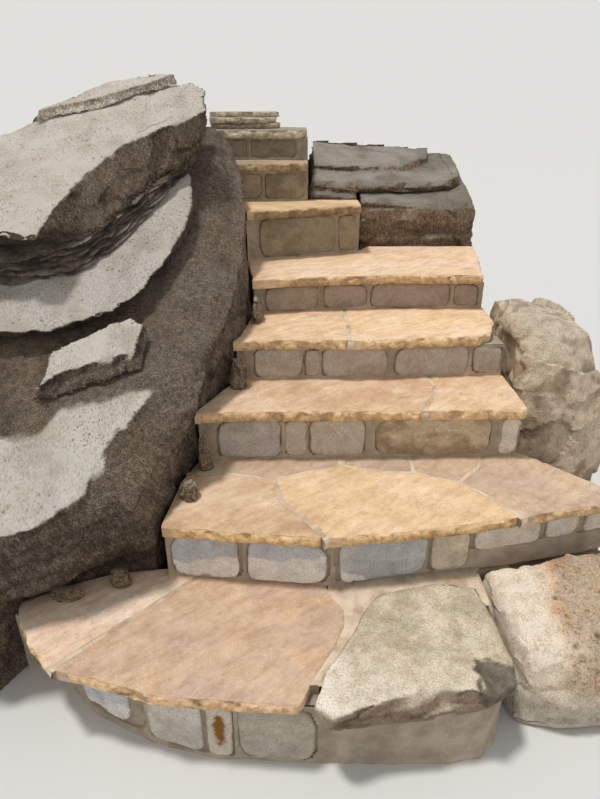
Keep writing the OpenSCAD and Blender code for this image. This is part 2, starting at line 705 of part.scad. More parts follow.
// Natural rock behind the fifth tread, whose beds rise gently uphill and fall to the right
bench_z = level(5) - flag_t;
bench_left = 97;
function rock_z(x, y, h) = level(5) + ledge_h + h + 0.2 * (y - nose(7) - 25) - 0.06 * (x - bench_left);
function on_rock(pts, h) = [for (p = pts) [p[0], p[1], rock_z(p[0], p[1], h)]];
function moved(pts, dx, dy) = [for (p = pts) [p[0] + dx, min(p[1] + dy, rear - 5), 0]];
bench_plan = [[bench_left, nose(7) + 27], [280, nose(7) + 25], [470, nose(7) + 27], [640, nose(7) + 42],
    [705, nose(7) + 80], [730, nose(7) + 400], [748, rear - 5], [430, rear - 5], [bench_left, rear - 5],
    [bench_left, nose(7) + 420]];
module rock_bench() {
    drawn = [for (p = bench_plan) [mix(420, p[0], 0.97), p[1]]];
    color(outcrop_grey)
        loft([
            flat(rough_ring(moved(bench_plan, 0, 0), 2, 2, 1), bench_z),
            flat(rough_ring(moved(bench_plan, 0, 4), 2, 3, 2), mix(bench_z, level(5) + ledge_h, 0.3)),
            flat(rough_ring(moved(bench_plan, 0, 3), 2, 3, 3), mix(bench_z, level(5) + ledge_h, 0.62)),
            on_rock(rough_ring(moved(bench_plan, -1, 16), 2, 3, 4), -22),
            on_rock(rough_ring(moved(drawn, 0, 44), 2, 4, 5), 0)
        ]);
}
module ledge_bed(plan, h, t, seed) {
    loft([
        on_rock(rough_ring(moved(plan, 0, 8), 2, 4, seed), h),
        on_rock(rough_ring(moved(plan, 0, 0), 2, 6, seed + 1), h + 0.5 * t),
        on_rock(rough_ring(moved(plan, 0, 26), 2, 5, seed + 2), h + t)
    ]);
}
bed_gap = 0.3;
module rock_ledge() {
    back_block = [[-152, nose(7) + 67], [-40, nose(7) + 66], [90, nose(7) + 68], [91, rear - 8],
        [-152, rear - 8]];
    color(outcrop_grey) {
        loft([
            flat(back_block, level(6) - flag_t),
            on_rock(back_block, -16),
            on_rock(moved(back_block, 0, 14), 0)
        ]);
        ledge_bed(
            [[-140, nose(7) + 118], [-60, nose(7) + 104], [60, nose(7) + 112], [180, nose(7) + 150],
             [330, nose(7) + 168], [470, nose(7) + 206], [600, nose(7) + 262], [678, nose(7) + 360],
             [700, nose(7) + 520], [712, rear - 40], [300, rear - 36], [-140, rear - 36]],
            bed_gap, ledge_bed_t, 7);
        ledge_bed(
            [[-134, nose(7) + 300], [60, nose(7) + 276], [200, nose(7) + 322], [400, nose(7) + 410],
             [540, nose(7) + 560], [560, rear - 90], [200, rear - 80], [-134, rear - 80]],
            ledge_bed_t + 2 * bed_gap, 0.7 * ledge_bed_t, 11);
    }
}

// Bedding planes of the outcrop, which dip towards the foot of the steps
function bed_z(y, h) = bed_front_h + h + bed_rise / 1000 * (y - 257);
function on_bed(pts, h) = [for (p = pts) [p[0], p[1], bed_z(p[1], h)]];
function flat(pts, z) = [for (p = pts) [p[0], p[1], z]];

// Rings of the base: its foot, the lip that overhangs the treads, its broken side and its top. Each
// lip point has its place, the tread beside it and its height above that tread
function out_left(d) = d - outcrop_reach;
base_foot = concat([[-1130, 240]], front_foot, [for (i = [0 : 7]) side_foot[i]],
    [[-1000, nose(7) + 20], [out_left(100), nose(7)], [out_left(20), 1500], [out_left(0), 900],
        [out_left(30), 420], [out_left(120), 220], [-1260, 195]]);
base_lip = [[-1150, 185, 1, 65], [-1020, 282, 1, 70], [-845, 342, 1, 105], [-750, 390, 1, 170],
    [-655, nose(2) + 25, 1, 240], [-585, nose(3) - 215, 2, 130], [-530, nose(3) - 130, 3, 70],
    [-500, nose(3) + 5, 3, 160], [-436, nose(4) + 13, 4, 165], [-410, nose(5) - 60, 5, 135],
    [-430, nose(6) - 108, 6, 100], [-520, nose(7) + 5, 7, 60]];
base_top = concat([[-1150, 226], [-1010, 244], [-915, 259], [-796, 365], [-803, 429]],
    [[-761, nose(3) - 288], [-722, nose(3) - 190], [-688, nose(3) - 90], [-650, nose(4) - 60],
        [-625, nose(5) - 200], [-590, nose(6) - 304], [-592, nose(7) - 20], [-1000, nose(7) - 10],
        [out_left(120), nose(7) - 30], [out_left(40), 1500], [out_left(20), 900], [out_left(50), 430],
        [out_left(135), 250], [-1260, 222]]);
rear_face = [11, 12, 13];
function foot_top_ring() =
    [for (i = [0 : len(base_foot) - 1])
        [base_foot[i][0], base_foot[i][1], i < len(base_lip) ? level(base_lip[i][2]) + 25 : 200]];
function lip_ring() =
    [for (i = [0 : len(base_foot) - 1])
        i < len(base_lip)
            ? [base_lip[i][0], base_lip[i][1], level(base_lip[i][2]) + base_lip[i][3]]
            : [base_foot[i][0], base_foot[i][1], 330]];
function side_ring(share, bulge, amp, seed) =
    let (lip = lip_ring(), top = on_bed(base_top, 0))
    [for (i = [0 : len(top) - 1])
        let (
            p = mix(lip[i], top[i], share),
            away = unit([p[0] + 1000, p[1] - 1100]),
            out = i > 2 && i < 11 ? bulge : 0.3 * bulge,
            swell = len(search(i, rear_face)) > 0 ? 0 : out + amp * noise(i, seed)
        )
        p + swell * [away[0], away[1], 0]];
module outcrop_base() {
    color(outcrop_grey)
        loft([
            rough_ring(flat(base_foot, 0), 3, 0, 1),
            rough_ring(foot_top_ring(), 3, 0, 2),
            rough_ring(lip_ring(), 3, 7, 3),
            rough_ring(side_ring(0.3, 24, 22, 4), 3, 8, 5),
            rough_ring(side_ring(0.62, 28, 24, 6), 3, 8, 7),
            rough_ring(side_ring(0.88, 12, 14, 8), 3, 6, 9),
            on_bed(rough_ring(on_bed(base_top, 0), 3, 6, 10), 0)
        ]);
}

// Beds above the base, each between two bedding planes
module bed(low, high, h0, h1, m, amp, seed) {
    middle = [for (i = [0 : len(low) - 1]) mix(low[i], high[i], 0.5)];
    color(outcrop_grey)
        loft([
            on_bed(rough_ring(flat(low, 0), m, amp, seed), h0),
            on_bed(rough_ring(flat(middle, 0), m, 1.6 * amp, seed + 1), (h0 + h1) / 2),
            on_bed(rough_ring(flat(high, 0), m, amp, seed + 2), h1)
        ]);
}
thin_h = middle_bed_t + thin_beds_t;
upper_h = thin_h + upper_bed_t;
outcrop_rear = 2040;
module outcrop_lower_ledge() {
    bed(
        [[-1035, 640], [-950, 652], [-812, 702], [-708, 748], [-704, 868], [-765, 900], [-880, 850],
         [-1010, 760]],
        [[-1000, 618], [-905, 704], [-815, 734], [-720, 760], [-714, 866], [-765, 898], [-880, 846],
         [-995, 752]],
        0, 62, 3, 6, 71);
}
module outcrop_middle_bed() {
    bed(
        [[out_left(100), 880], [-1136, 880], [-1010, 900], [-905, 945], [-850, 985], [-790, 1060],
         [-715, 1165], [-650, 1262], [-615, 1420], [-605, 1560], [-1000, outcrop_rear - 20],
         [out_left(150), outcrop_rear - 160], [out_left(70), 1500]],
        [[out_left(110), 800], [-1136, 800], [-1000, 806], [-900, 848], [-818, 872], [-735, 958],
         [-660, 1118], [-622, 1262], [-606, 1440], [-640, 1560], [-1000, outcrop_rear - 40],
         [out_left(160), outcrop_rear - 180], [out_left(80), 1500]],
        0, middle_bed_t, 4, 8, 72);
}
module outcrop_thin_beds() {
    bed(
        [[out_left(120), 990], [-1150, 1010], [-980, 1040], [-880, 1170], [-740, 1400],
         [-660, 1580], [-640, outcrop_rear - 130], [-1000, outcrop_rear - 90],
         [out_left(190), outcrop_rear - 200], [out_left(100), 1500]],
        [[out_left(130), 1010], [-1140, 1030], [-960, 1090], [-850, 1240], [-720, 1430],
         [-640, 1640], [-630, outcrop_rear - 150], [-1000, outcrop_rear - 110],
         [out_left(200), outcrop_rear - 220], [out_left(110), 1500]],
        middle_bed_t, thin_h, 5, 12, 73);
}
module outcrop_upper_bed() {
    bed(
        [[out_left(90), 1060], [-1260, 1068], [-1110, 1073], [-1020, 1080], [-945, 1092],
         [-850, 1192], [-800, 1310], [-720, 1440], [-640, 1500], [-600, 1600], [-596, 1730],
         [-650, 1830], [-800, outcrop_rear - 170], [-1000, outcrop_rear - 190], [-1150, 1790],
         [-1280, 1690], [out_left(95), 1500]],
        [[out_left(100), 905], [-1260, 900], [-1150, 902], [-1036, 892], [-1025, 1020],
         [-975, 1195], [-880, 1368], [-745, 1474], [-640, 1530], [-565, 1600], [-580, 1730],
         [-640, 1790], [-800, 1800], [-1000, 1735], [-1142, 1612], [-1250, 1500],
         [out_left(110), 1380]],
        thin_h, upper_h, 3, 9, 74);
}
module outcrop_cap() {
    bed(
        [[-1225, 1498], [-1140, 1540], [-983, 1590], [-894, 1656], [-808, 1700], [-712, 1760],
         [-690, 1776], [-800, 1784], [-985, 1722], [-1120, 1616], [-1218, 1528]],
        [[-1205, 1500], [-1135, 1552], [-985, 1606], [-896, 1668], [-808, 1712], [-728, 1760],
         [-704, 1772], [-800, 1776], [-975, 1716], [-1110, 1612], [-1200, 1522]],
        upper_h, upper_h + cap_bed_t, 3, 3, 75);
}

// Stones wedged between the outcrop and the left ends of the treads
chink_rings = [[0.90, 0], [1.02, 0.3], [0.94, 0.7], [0.55, 1]];
module chink(x, y, z, w, d, h, seed) {
    plan = [for (i = [0 : 7])
        let (r = 0.46 + 0.06 * noise(i, seed))
        [w * r * cos(45 * i + 12 * seed), d * r * sin(45 * i + 12 * seed)]];
    translate([x, y, z])
        loft([for (s = chink_rings)
            [for (i = [0 : 7])
                [s[0] * plan[i][0] - 0.08 * w * s[1], s[0] * plan[i][1],
                    h * s[1] * (1 + 0.14 * noise(i, seed + 9))]]]);
}
module chinking_stones() {
    color(outcrop_grey) {
        chink(-762, 428, level(1), 100, 72, 62, 1);
        chink(-915, 366, level(1), 120, 58, 38, 2);
        chink(-562, nose(3) - 232, level(2), 74, 92, 70, 3);
        chink(-532, nose(3) - 52, level(2), 62, 60, 128, 4);
        chink(-428, nose(4) - 60, level(3), 78, 92, 110, 5);
        chink(-372, nose(5) - 140, level(4), 58, 118, 96, 6);
    }
}

// Rubble facings of the sides that the rocks and the ground hide
module right_edge_strip() {
    difference() {
        strip(0, 0);
        strip(-far, wall_t);
    }
}
module right_side_wall() {
    color(riser_grey)
        for (k = [2 : 5])
            translate([0, 0, k == 2 ? 0 : level(k - 1) - flag_t])
                linear_extrude(k == 2 ? level(2) - flag_t : level(k) - level(k - 1))
                    intersection() {
                        right_edge_strip();
                        translate([-far, notch_y(k)])
                            square([2 * far, 2 * far]);
                    }
}
wall_start = nose(7) + 35;
module left_side_wall() {
    color(riser_grey)
        for (k = [7 : 8])
            translate([0, 0, k == 7 ? 0 : level(7) - flag_t])
                linear_extrude(k == 7 ? level(7) - flag_t : level(8) - level(7))
                    intersection() {
                        difference() {
                            strip(-wall_t, 0);
                            strip(0, -far);
                        }
                        translate([-far, k == 7 ? wall_start : nose(8) + overhang])
                            square([2 * far, 2 * far]);
                    }
}
module back_wall() {
    low = rock_z(760, rear, -30);
    left_low = rock_z(95, rear, -30);
    color(riser_grey)
        translate([0, rear + wall_t, 0])
            rotate([90, 0, 0])
                linear_extrude(wall_t)
                    polygon([[-845, 0], [760, 0], [760, low], [95, low], [95, left_low], [-160, left_low],
                        [-160, level(8) - flag_t], [-845, level(8) - flag_t]]);
}

// Moves a piece so that the origin is under the middle of the first tread
module placed() {
    translate([0, -going_1 / 2, 0])
        children();
}

placed() course(1);  // step_1_core
placed() course(2);  // step_2_core
placed() course(3);  // step_3_core
placed() course(4);  // step_4_core
placed() course(5);  // step_5_core
placed() course(6);  // step_6_core
placed() course(7);  // step_7_core
placed() course(8);  // step_8_core
placed() riser(1);  // step_1_riser_stones
placed() riser(2);  // step_2_riser_stones
placed() riser(3);  // step_3_riser_stones
placed() riser(4);  // step_4_riser_stones
placed() riser(5);  // step_5_riser_stones
placed() riser(6);  // step_6_riser_stones
placed() riser(7);  // step_7_riser_stones
placed() riser(8);  // step_8_riser_stones
placed() tread_1();  // step_1_tread
placed() tread_2();  // step_2_tread
placed() tread_3();  // step_3_tread
placed() tread_4();  // step_4_tread
placed() tread_5();  // step_5_tread
placed() tread_6();  // step_6_tread
placed() tread_7();  // step_7_tread
placed() tread_8();  // step_8_tread
placed() step_9_riser_slab();
placed() tread_9();  // step_9_tread
placed() tread_10();  // step_10_tread
placed() flag_pointing();
placed() boulder_slab();
placed() porous_boulder();
placed() side_boulder();
placed() rock_bench();
placed() rock_ledge();
placed() outcrop_base();
placed() outcrop_lower_ledge();
placed() outcrop_middle_bed();
placed() outcrop_thin_beds();
placed() outcrop_upper_bed();
placed() outcrop_cap();
placed() chinking_stones();
placed() right_side_wall();
placed() left_side_wall();
placed() back_wall();
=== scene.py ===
"""Looks of the outdoor stone steps: split flags, rough risers, pointing, outcrop and boulders."""

import collections
import itertools
import math

import bmesh
import bpy
import numpy as np
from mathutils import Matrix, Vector, geometry
from mathutils.bvhtree import BVHTree


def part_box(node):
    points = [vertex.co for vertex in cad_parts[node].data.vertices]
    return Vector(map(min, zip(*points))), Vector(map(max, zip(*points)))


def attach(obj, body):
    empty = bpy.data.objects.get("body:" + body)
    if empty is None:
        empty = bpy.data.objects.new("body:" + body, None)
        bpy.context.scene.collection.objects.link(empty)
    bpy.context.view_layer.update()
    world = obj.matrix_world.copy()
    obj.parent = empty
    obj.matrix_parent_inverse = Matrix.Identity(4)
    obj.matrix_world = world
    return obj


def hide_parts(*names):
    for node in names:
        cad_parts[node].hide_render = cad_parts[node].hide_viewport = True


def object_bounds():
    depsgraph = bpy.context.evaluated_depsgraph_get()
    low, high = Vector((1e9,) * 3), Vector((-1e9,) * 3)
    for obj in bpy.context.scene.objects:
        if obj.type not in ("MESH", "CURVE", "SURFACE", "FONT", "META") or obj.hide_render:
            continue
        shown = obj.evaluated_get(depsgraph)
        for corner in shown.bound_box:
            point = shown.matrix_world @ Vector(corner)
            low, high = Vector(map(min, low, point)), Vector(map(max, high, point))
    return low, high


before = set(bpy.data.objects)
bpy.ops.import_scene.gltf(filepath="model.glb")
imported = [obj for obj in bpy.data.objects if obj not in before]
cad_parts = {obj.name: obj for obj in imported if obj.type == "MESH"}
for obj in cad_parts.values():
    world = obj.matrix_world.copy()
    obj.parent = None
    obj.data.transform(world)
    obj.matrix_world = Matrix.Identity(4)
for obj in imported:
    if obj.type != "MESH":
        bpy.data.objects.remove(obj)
cad_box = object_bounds()

# In short names, v or verts are points, n their normals, t a thickness, and k a course counted from below
MM = 0.001
UP = np.array((0.0, 0.0, 1.0))

# Camera, from the photo's horizon and the scale of the steps
FOCAL_PX = 601.0
PITCH_DEG = 25.76
EYE = (-0.20, -1.233, 1.62)
IMAGE_W = 600

# The bedding of the outcrop rises uphill by this slope
BED_SLOPE = 0.53

# Noses and risers are painted lighter than they look, as they face down the steps, away from the light
NOSE_LIFT = 1.45
RISER_LIFT = 1.55

# The courses that have a core and riser stones
COURSES = range(1, 9)

# Points of the CAD this close together are one
SAME_PLACE = 2e-5

# Edges that turn by more degrees than this stay sharp: by default, on dressed stones and on rock
PLAIN_CREASE, STONE_CREASE, ROCK_CREASE = 50, 60, 32

# The hash behind the noise: multipliers for the three axes and the seed, and a mask that keeps 32 bits
HASH_X, HASH_Y, HASH_Z, HASH_SEED = 374761393, 668265263, 2246822519, 3266489917
HASH_MASK = 0xFFFFFFFF
NEIGHBOURS = [np.array(step) for step in itertools.product((-1, 0, 1), repeat=3)]


def srgb(r, g, b):
    """A colour seen on screen, from 0 to 255, as the linear values that shaders take."""
    v = np.array((r, g, b)) / 255.0
    return np.where(v <= 0.04045, v / 12.92, ((v + 0.055) / 1.055) ** 2.4)


def lattice(i, seed):
    """Repeatable values from 0 to 1 at whole-number places."""
    i = i.astype(np.uint64)
    h = i[..., 0] * np.uint64(HASH_X) + i[..., 1] * np.uint64(HASH_Y) + i[..., 2] * np.uint64(HASH_Z)
    h = (h + np.uint64(seed * HASH_SEED % (HASH_MASK + 1))) & np.uint64(HASH_MASK)
    for bits, factor in ((15, HASH_Z), (13, HASH_SEED)):
        h = ((h ^ (h >> np.uint64(bits))) * np.uint64(factor)) & np.uint64(HASH_MASK)
    return ((h ^ (h >> np.uint64(16))) & np.uint64(0xFFFFFF)).astype(float) / 0xFFFFFF


def grain(p, scale, seed):
    """Smooth noise from -1 to 1; scale is the size of its features, as one number or one for each axis."""
    q = np.asarray(p) / scale + 1000.0
    i = np.floor(q).astype(np.int64)
    f = q - i
    f = f * f * (3 - 2 * f)
    total = 0
    for corner in itertools.product((0, 1), repeat=3):
        x, y, z = (f[..., n] if c else 1 - f[..., n] for n, c in enumerate(corner))
        total = total + x * y * z * lattice(i + np.array(corner), seed)
    return 2 * total - 1


def fractal(p, scale, seed, octaves=3, gain=0.5):
    """Layers of smooth noise, each finer and weaker than the one before."""
    total, height, size = 0, 1.0, np.asarray(scale, float)
    for n in range(octaves):
        total = total + height * grain(p, size, seed + 17 * n)
        height *= gain
        size = size / 2.03
    return total


def cells(p, scale, seed, tilt=0.0):
    """Distance to the nearest cell's middle, in cell sizes, and that cell's value. With a tilt, the value
    leans across each cell in its own direction."""
    q = np.asarray(p) / scale + 1000.0
    i = np.floor(q).astype(np.int64)
    near = np.full(len(q), 9.0)
    own = np.zeros(len(q))
    for step in NEIGHBOURS:
        j = i + step
        middle = j + np.stack([lattice(j, seed + a) for a in (1, 2, 3)], axis=-1)
        d = np.linalg.norm(middle - q, axis=1)
        value = lattice(j, seed + 4)
        if tilt:
            lean = np.stack([lattice(j, seed + a) for a in (5, 6, 7)], axis=-1) - 0.5
            value = (value - 0.5) + np.sum(lean * (q - middle), axis=1) * tilt
        own = np.where(d < near, value, own)
        near = np.minimum(near, d)
    return near, own


def facets(p, scale, seed):
    """Broken faces: how far each place stands out of the surface, from -1 to 1."""
    return np.clip(cells(p, scale, seed, 1.6)[1], -1, 1)


def smooth(a, b, x):
    """0 below a, 1 above b, and a soft step between."""
    t = np.clip((x - a) / (b - a), 0, 1)
    return t * t * (3 - 2 * t)


def patches(p, low, high, scale, seed, octaves=3):
    """Soft-edged patches of noise, from 0 to 1."""
    return smooth(low, high, fractal(p, scale, seed, octaves))


def all_over(colour, points):
    """One colour at every point."""
    return np.tile(colour, (len(points), 1))


def blend(a, b, t):
    """From one colour to another by the share t at each point."""
    return a + (b - a) * np.asarray(t)[..., None]


def paint(points, base, *coats):
    """A base colour with coats over it, each a colour and its share at each point."""
    tint = all_over(base, points)
    for colour, share in coats:
        tint = blend(tint, colour, share)
    return tint


def limit(tint):
    """Keeps colours below white without changing their hue."""
    tint = np.maximum(tint, 0)
    return tint * np.minimum(1, 0.95 / np.maximum(tint.max(axis=1), 1e-6))[:, None]


def surface(node):
    """A CAD node's points, and its triangles as point numbers."""
    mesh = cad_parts[node].data
    mesh.calc_loop_triangles()
    return np.array([v.co[:] for v in mesh.vertices]), [tuple(t.vertices) for t in mesh.loop_triangles]


def islands(node):
    """The separate solids of a CAD node, from left to right, each as points, triangles and their normals."""
    bm = bmesh.new()
    bm.from_mesh(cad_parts[node].data)
    bmesh.ops.remove_doubles(bm, verts=bm.verts, dist=SAME_PLACE)
    bmesh.ops.triangulate(bm, faces=bm.faces)
    bmesh.ops.recalc_face_normals(bm, faces=bm.faces)
    bm.verts.ensure_lookup_table()
    bm.verts.index_update()
    done = set()
    found = []
    for start in bm.verts:
        if start.index in done:
            continue
        done.add(start.index)
        queue = [start]
        group = []
        while queue:
            v = queue.pop()
            group.append(v)
            for e in v.link_edges:
                w = e.other_vert(v)
                if w.index not in done:
                    done.add(w.index)
                    queue.append(w)
        order = {v.index: n for n, v in enumerate(group)}
        faces = {f for v in group for f in v.link_faces}
        faces = sorted(faces, key=lambda f: tuple(sorted(order[v.index] for v in f.verts)))
        points = np.array([v.co[:] for v in group])
        tris = np.array([[order[v.index] for v in f.verts] for f in faces])
        normals = np.array([f.normal[:] for f in faces])
        if len(tris) > 3:
            found.append((points, tris, normals))
    bm.free()
    return sorted(found, key=lambda s: s[0][:, 0].min() + s[0][:, 0].max())


def edges_of(a, b, c):
    """The three edges of a triangle, in its own direction."""
    return (a, b), (b, c), (c, a)


def rim(tris, chosen):
    """The longest closed run of edges round the chosen triangles, and the triangle outside each edge."""
    owner = {edge: n for n, t in enumerate(tris) for edge in edges_of(*t)}
    after = {}
    for n in np.flatnonzero(chosen):
        for a, b in edges_of(*tris[n]):
            outer = owner.get((b, a))
            if outer is None or not chosen[outer]:
                after[a] = (b, outer)
    best = []
    left = set(after)
    while left:
        start = min(left)
        loop = []
        v = start
        while v in left:
            left.discard(v)
            loop.append((v, after[v][1]))
            v = after[v][0]
        if len(loop) > len(best):
            best = loop
    return [v for v, _ in best], [n for _, n in best]


def resample(ring, free, fine, coarse):
    """Even points along a closed ring of 2-D points; free edges are cut finer."""
    points = []
    marks = []
    for n in range(len(ring)):
        a = ring[n]
        b = ring[(n + 1) % len(ring)]
        length = np.linalg.norm(b - a)
        m = max(1, int(round(length / (fine if free[n] else coarse))))
        for j in range(m):
            points.append(a + (b - a) * j / m)
            marks.append(1.0 if free[n] or (j == 0 and free[n - 1]) else 0.0)
    return np.array(points), np.array(marks)


def relax(points, marks, times):
    """Rounds off a closed ring where the marks allow it."""
    for _ in range(times):
        middle = (np.roll(points, 1, axis=0) + np.roll(points, -1, axis=0)) / 2
        points = points + 0.5 * marks[:, None] * (middle - points)
    return points


def outward(points):
    """Outward directions of an anticlockwise ring, softened along it."""
    ahead = np.roll(points, -1, axis=0) - np.roll(points, 1, axis=0)
    n = np.stack([ahead[:, 1], -ahead[:, 0]], axis=1)
    n = n / np.maximum(np.linalg.norm(n, axis=1), 1e-9)[:, None]
    for _ in range(2):
        n = n + (np.roll(n, 1, axis=0) + np.roll(n, -1, axis=0)) / 2
        n = n / np.maximum(np.linalg.norm(n, axis=1), 1e-9)[:, None]
    return n


def nearest(points, others):
    """Distance of each point to the nearest of some others."""
    return np.array([np.min(np.sum((others - p) ** 2, axis=1)) for p in points]) ** 0.5


def inside(points, ring):
    """True for each point inside the ring."""
    x, y = points[:, 0], points[:, 1]
    hit = np.zeros(len(points), bool)
    for n in range(len(ring)):
        (xa, ya), (xb, yb) = ring[n - 1], ring[n]
        if ya == yb:
            continue
        crosses = (ya > y) != (yb > y)
        hit ^= crosses & (x < (xb - xa) * (y - ya) / (yb - ya) + xa)
    return hit


def fill(ring, inner, spacing, seed):
    """Triangles over a ring: its own points first, then points inside it at about the spacing."""
    lo, hi = ring.min(axis=0), ring.max(axis=0)
    xs = np.arange(lo[0], hi[0], spacing)
    ys = np.arange(lo[1], hi[1], spacing * 0.87)
    grid = np.array([(x + (0.5 * spacing if j % 2 else 0), y) for j, y in enumerate(ys) for x in xs])
    points = ring if inner is None else np.concatenate([ring, inner])
    if len(grid):
        key = np.floor(np.c_[grid / spacing * 7, grid[:, :1] * 0]).astype(np.int64) + 999
        shake = np.stack([lattice(key, seed + a) for a in (0, 1)], axis=1)
        grid = grid + (shake - 0.5) * 0.3 * spacing
        grid = grid[inside(grid, ring)]
    if len(grid):
        grid = grid[nearest(grid, points) > 0.6 * spacing]
    if len(grid):
        points = np.concatenate([points, grid])
    n = len(ring)
    edges = [(i, (i + 1) % n) for i in range(n)]
    made = geometry.delaunay_2d_cdt([Vector(p) for p in points], edges, [], 1, 1e-7)
    verts = np.array([v[:] for v in made[0]])
    origin = [o[0] if o else -1 for o in made[3]]
    return verts, origin, [tuple(f) for f in made[2]]


def band(last, now):
    """Faces between two closed rings of points, from the upper one down."""
    n = len(last)
    return [(last[i], now[i], now[(i + 1) % n], last[(i + 1) % n]) for i in range(n)]


# Mesh data of one dressed stone. For each point, kind is 0 on its top and 1 below it, depth is how far below
# the top it lies, and free is 1 on worked edges and 0 on plain ones.
Stone = collections.namedtuple("Stone", "verts faces kind depth free")


def inner_points(points, n2, soft, bands):
    """Extra points just inside the free edges of a ring, in bands, or None."""
    kept = []
    for inset in bands:
        step = (points - n2 * inset)[soft > 0.5]
        kept.append(step[::2] if inset > 0.01 else step)
    inner = np.concatenate(kept)
    inner = inner[inside(inner, points)]
    if len(inner):
        inner = inner[nearest(inner, points) > 0.55 * min(bands)]
    return inner if len(inner) else None


# A spacing so wide that a filled ring gets no points inside it
NO_INNER = 99.0


def close_back(points, last, seed):
    """Faces over the back of a stone, between the points of its last ring."""
    _, origin, tris = fill(points, None, NO_INNER, seed)
    found = {i: last[o] for i, o in enumerate(origin) if 0 <= o < len(points)}
    return [tuple(found[i] for i in reversed(t)) for t in tris if all(i in found for i in t)]


def stone_rim(ring, free, fine, coarse, round_off, wobble, seed):
    """Points along a stone's wavy rim, their outward directions, and how free each of them is."""
    points, marks = resample(ring, free, fine, coarse)
    points = relax(points, np.maximum(marks, 0.15), round_off)
    soft = marks.copy()
    for _ in range(3):
        soft = (np.roll(soft, 1) + soft + np.roll(soft, -1)) / 3
    n2 = outward(points)
    if wobble:
        along = np.c_[points, np.full(len(points), seed * 0.37)]
        shift = n2 * (wobble * fractal(along, 0.05, seed, 2))[:, None]
        points = points + shift * (0.4 + 0.6 * soft)[:, None]
    return points, n2, soft


def dress(ring, free, place, edge, fine, coarse, spacing, seed, round_off=6, wobble=0.0, bands=()):
    """Builds a stone from its rim in a plane. place turns plane places and depths into the frame's. edge
    lists how deep each ring below the rim lies, and how far it stands out on free edges and on others."""
    points, n2, soft = stone_rim(ring, free, fine, coarse, round_off, wobble, seed)
    n = len(points)
    inner = inner_points(points, n2, soft, bands) if bands else None
    cap, origin, tris = fill(points, inner, spacing, seed)
    rim_of = {o: i for i, o in enumerate(origin) if 0 <= o < n}
    verts = [place(cap, np.zeros(len(cap)))]
    faces = list(tris)
    kind, depths, frees = ([np.zeros(len(cap))] for _ in range(3))
    for i, o in enumerate(origin):
        if 0 <= o < n:
            frees[0][i] = soft[o]
    last = [rim_of[i] for i in range(n)]
    count = len(cap)
    for deep, out_free, out_other in edge:
        out = out_free * soft + out_other * (1 - soft)
        verts.append(place(points + n2 * out[:, None], np.full(n, deep)))
        kind.append(np.ones(n))
        depths.append(np.full(n, deep))
        frees.append(soft)
        now = list(range(count, count + n))
        count += n
        faces += band(last, now)
        last = now
    faces += close_back(points, last, seed)
    return Stone(np.concatenate(verts), faces, *(np.concatenate(part) for part in (kind, depths, frees)))


def vertex_normals(verts, faces):
    """Normals of the points, by area."""
    total = np.zeros_like(verts)
    size = max(len(f) for f in faces)
    for m in range(3, size + 1):
        some = np.array([f for f in faces if len(f) == m])
        if not len(some):
            continue
        a, b, c = (verts[some[:, corner]] for corner in range(3))
        cross = np.cross(b - a, c - a)
        if m > 3:
            cross = cross + np.cross(c - a, verts[some[:, 3]] - a)
        for corner in range(m):
            np.add.at(total, some[:, corner], cross)
    return total / np.maximum(np.linalg.norm(total, axis=1), 1e-12)[:, None]


def piece(name, verts, faces, tint, rough, material, slot, nodes=(), sharp=PLAIN_CREASE):
    """A piece of the object. tint is each point's colour and rough how broken its surface is; on the outcrop,
    rough holds the share of painted light instead.
    """
    mesh = bpy.data.meshes.new(name)
    mesh.from_pydata(np.asarray(verts).tolist(), [], [tuple(int(i) for i in f) for f in faces])
    mesh.validate()
    colours = mesh.attributes.new("tint", "FLOAT_COLOR", "POINT")
    data = np.c_[tint, np.broadcast_to(rough, len(verts))]
    colours.data.foreach_set("color", data.astype(np.float32).ravel())
    mesh.shade_smooth()
    mesh.set_sharp_from_angle(angle=math.radians(sharp))
    obj = bpy.data.objects.new(name, mesh)
    bpy.context.scene.collection.objects.link(obj)
    mesh.materials.append(material)
    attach(obj, "root")
    if nodes:
        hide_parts(*nodes)


class Heap:
    """Gathers several stones into one mesh."""

    def __init__(self):
        self.verts, self.faces, self.tint, self.rough, self.count = [], [], [], [], 0

    def add(self, verts, faces, tint, rough):
        """Adds one stone. rough is one number, or one for each point."""
        self.faces += [tuple(i + self.count for i in f) for f in faces]
        self.verts.append(verts)
        self.tint.append(tint)
        self.rough.append(np.broadcast_to(rough, len(verts)))
        self.count += len(verts)

    def make(self, name, material, slot, nodes=(), sharp=PLAIN_CREASE):
        """Makes the piece that holds all its stones."""
        verts, tint, rough = (np.concatenate(part) for part in (self.verts, self.tint, self.rough))
        piece(name, verts, self.faces, tint, rough, material, slot, nodes, sharp)


def keep_in_box(verts):
    """Draws points back inside the box of the whole CAD part."""
    return np.clip(verts, np.array(cad_box[0]), np.array(cad_box[1]))
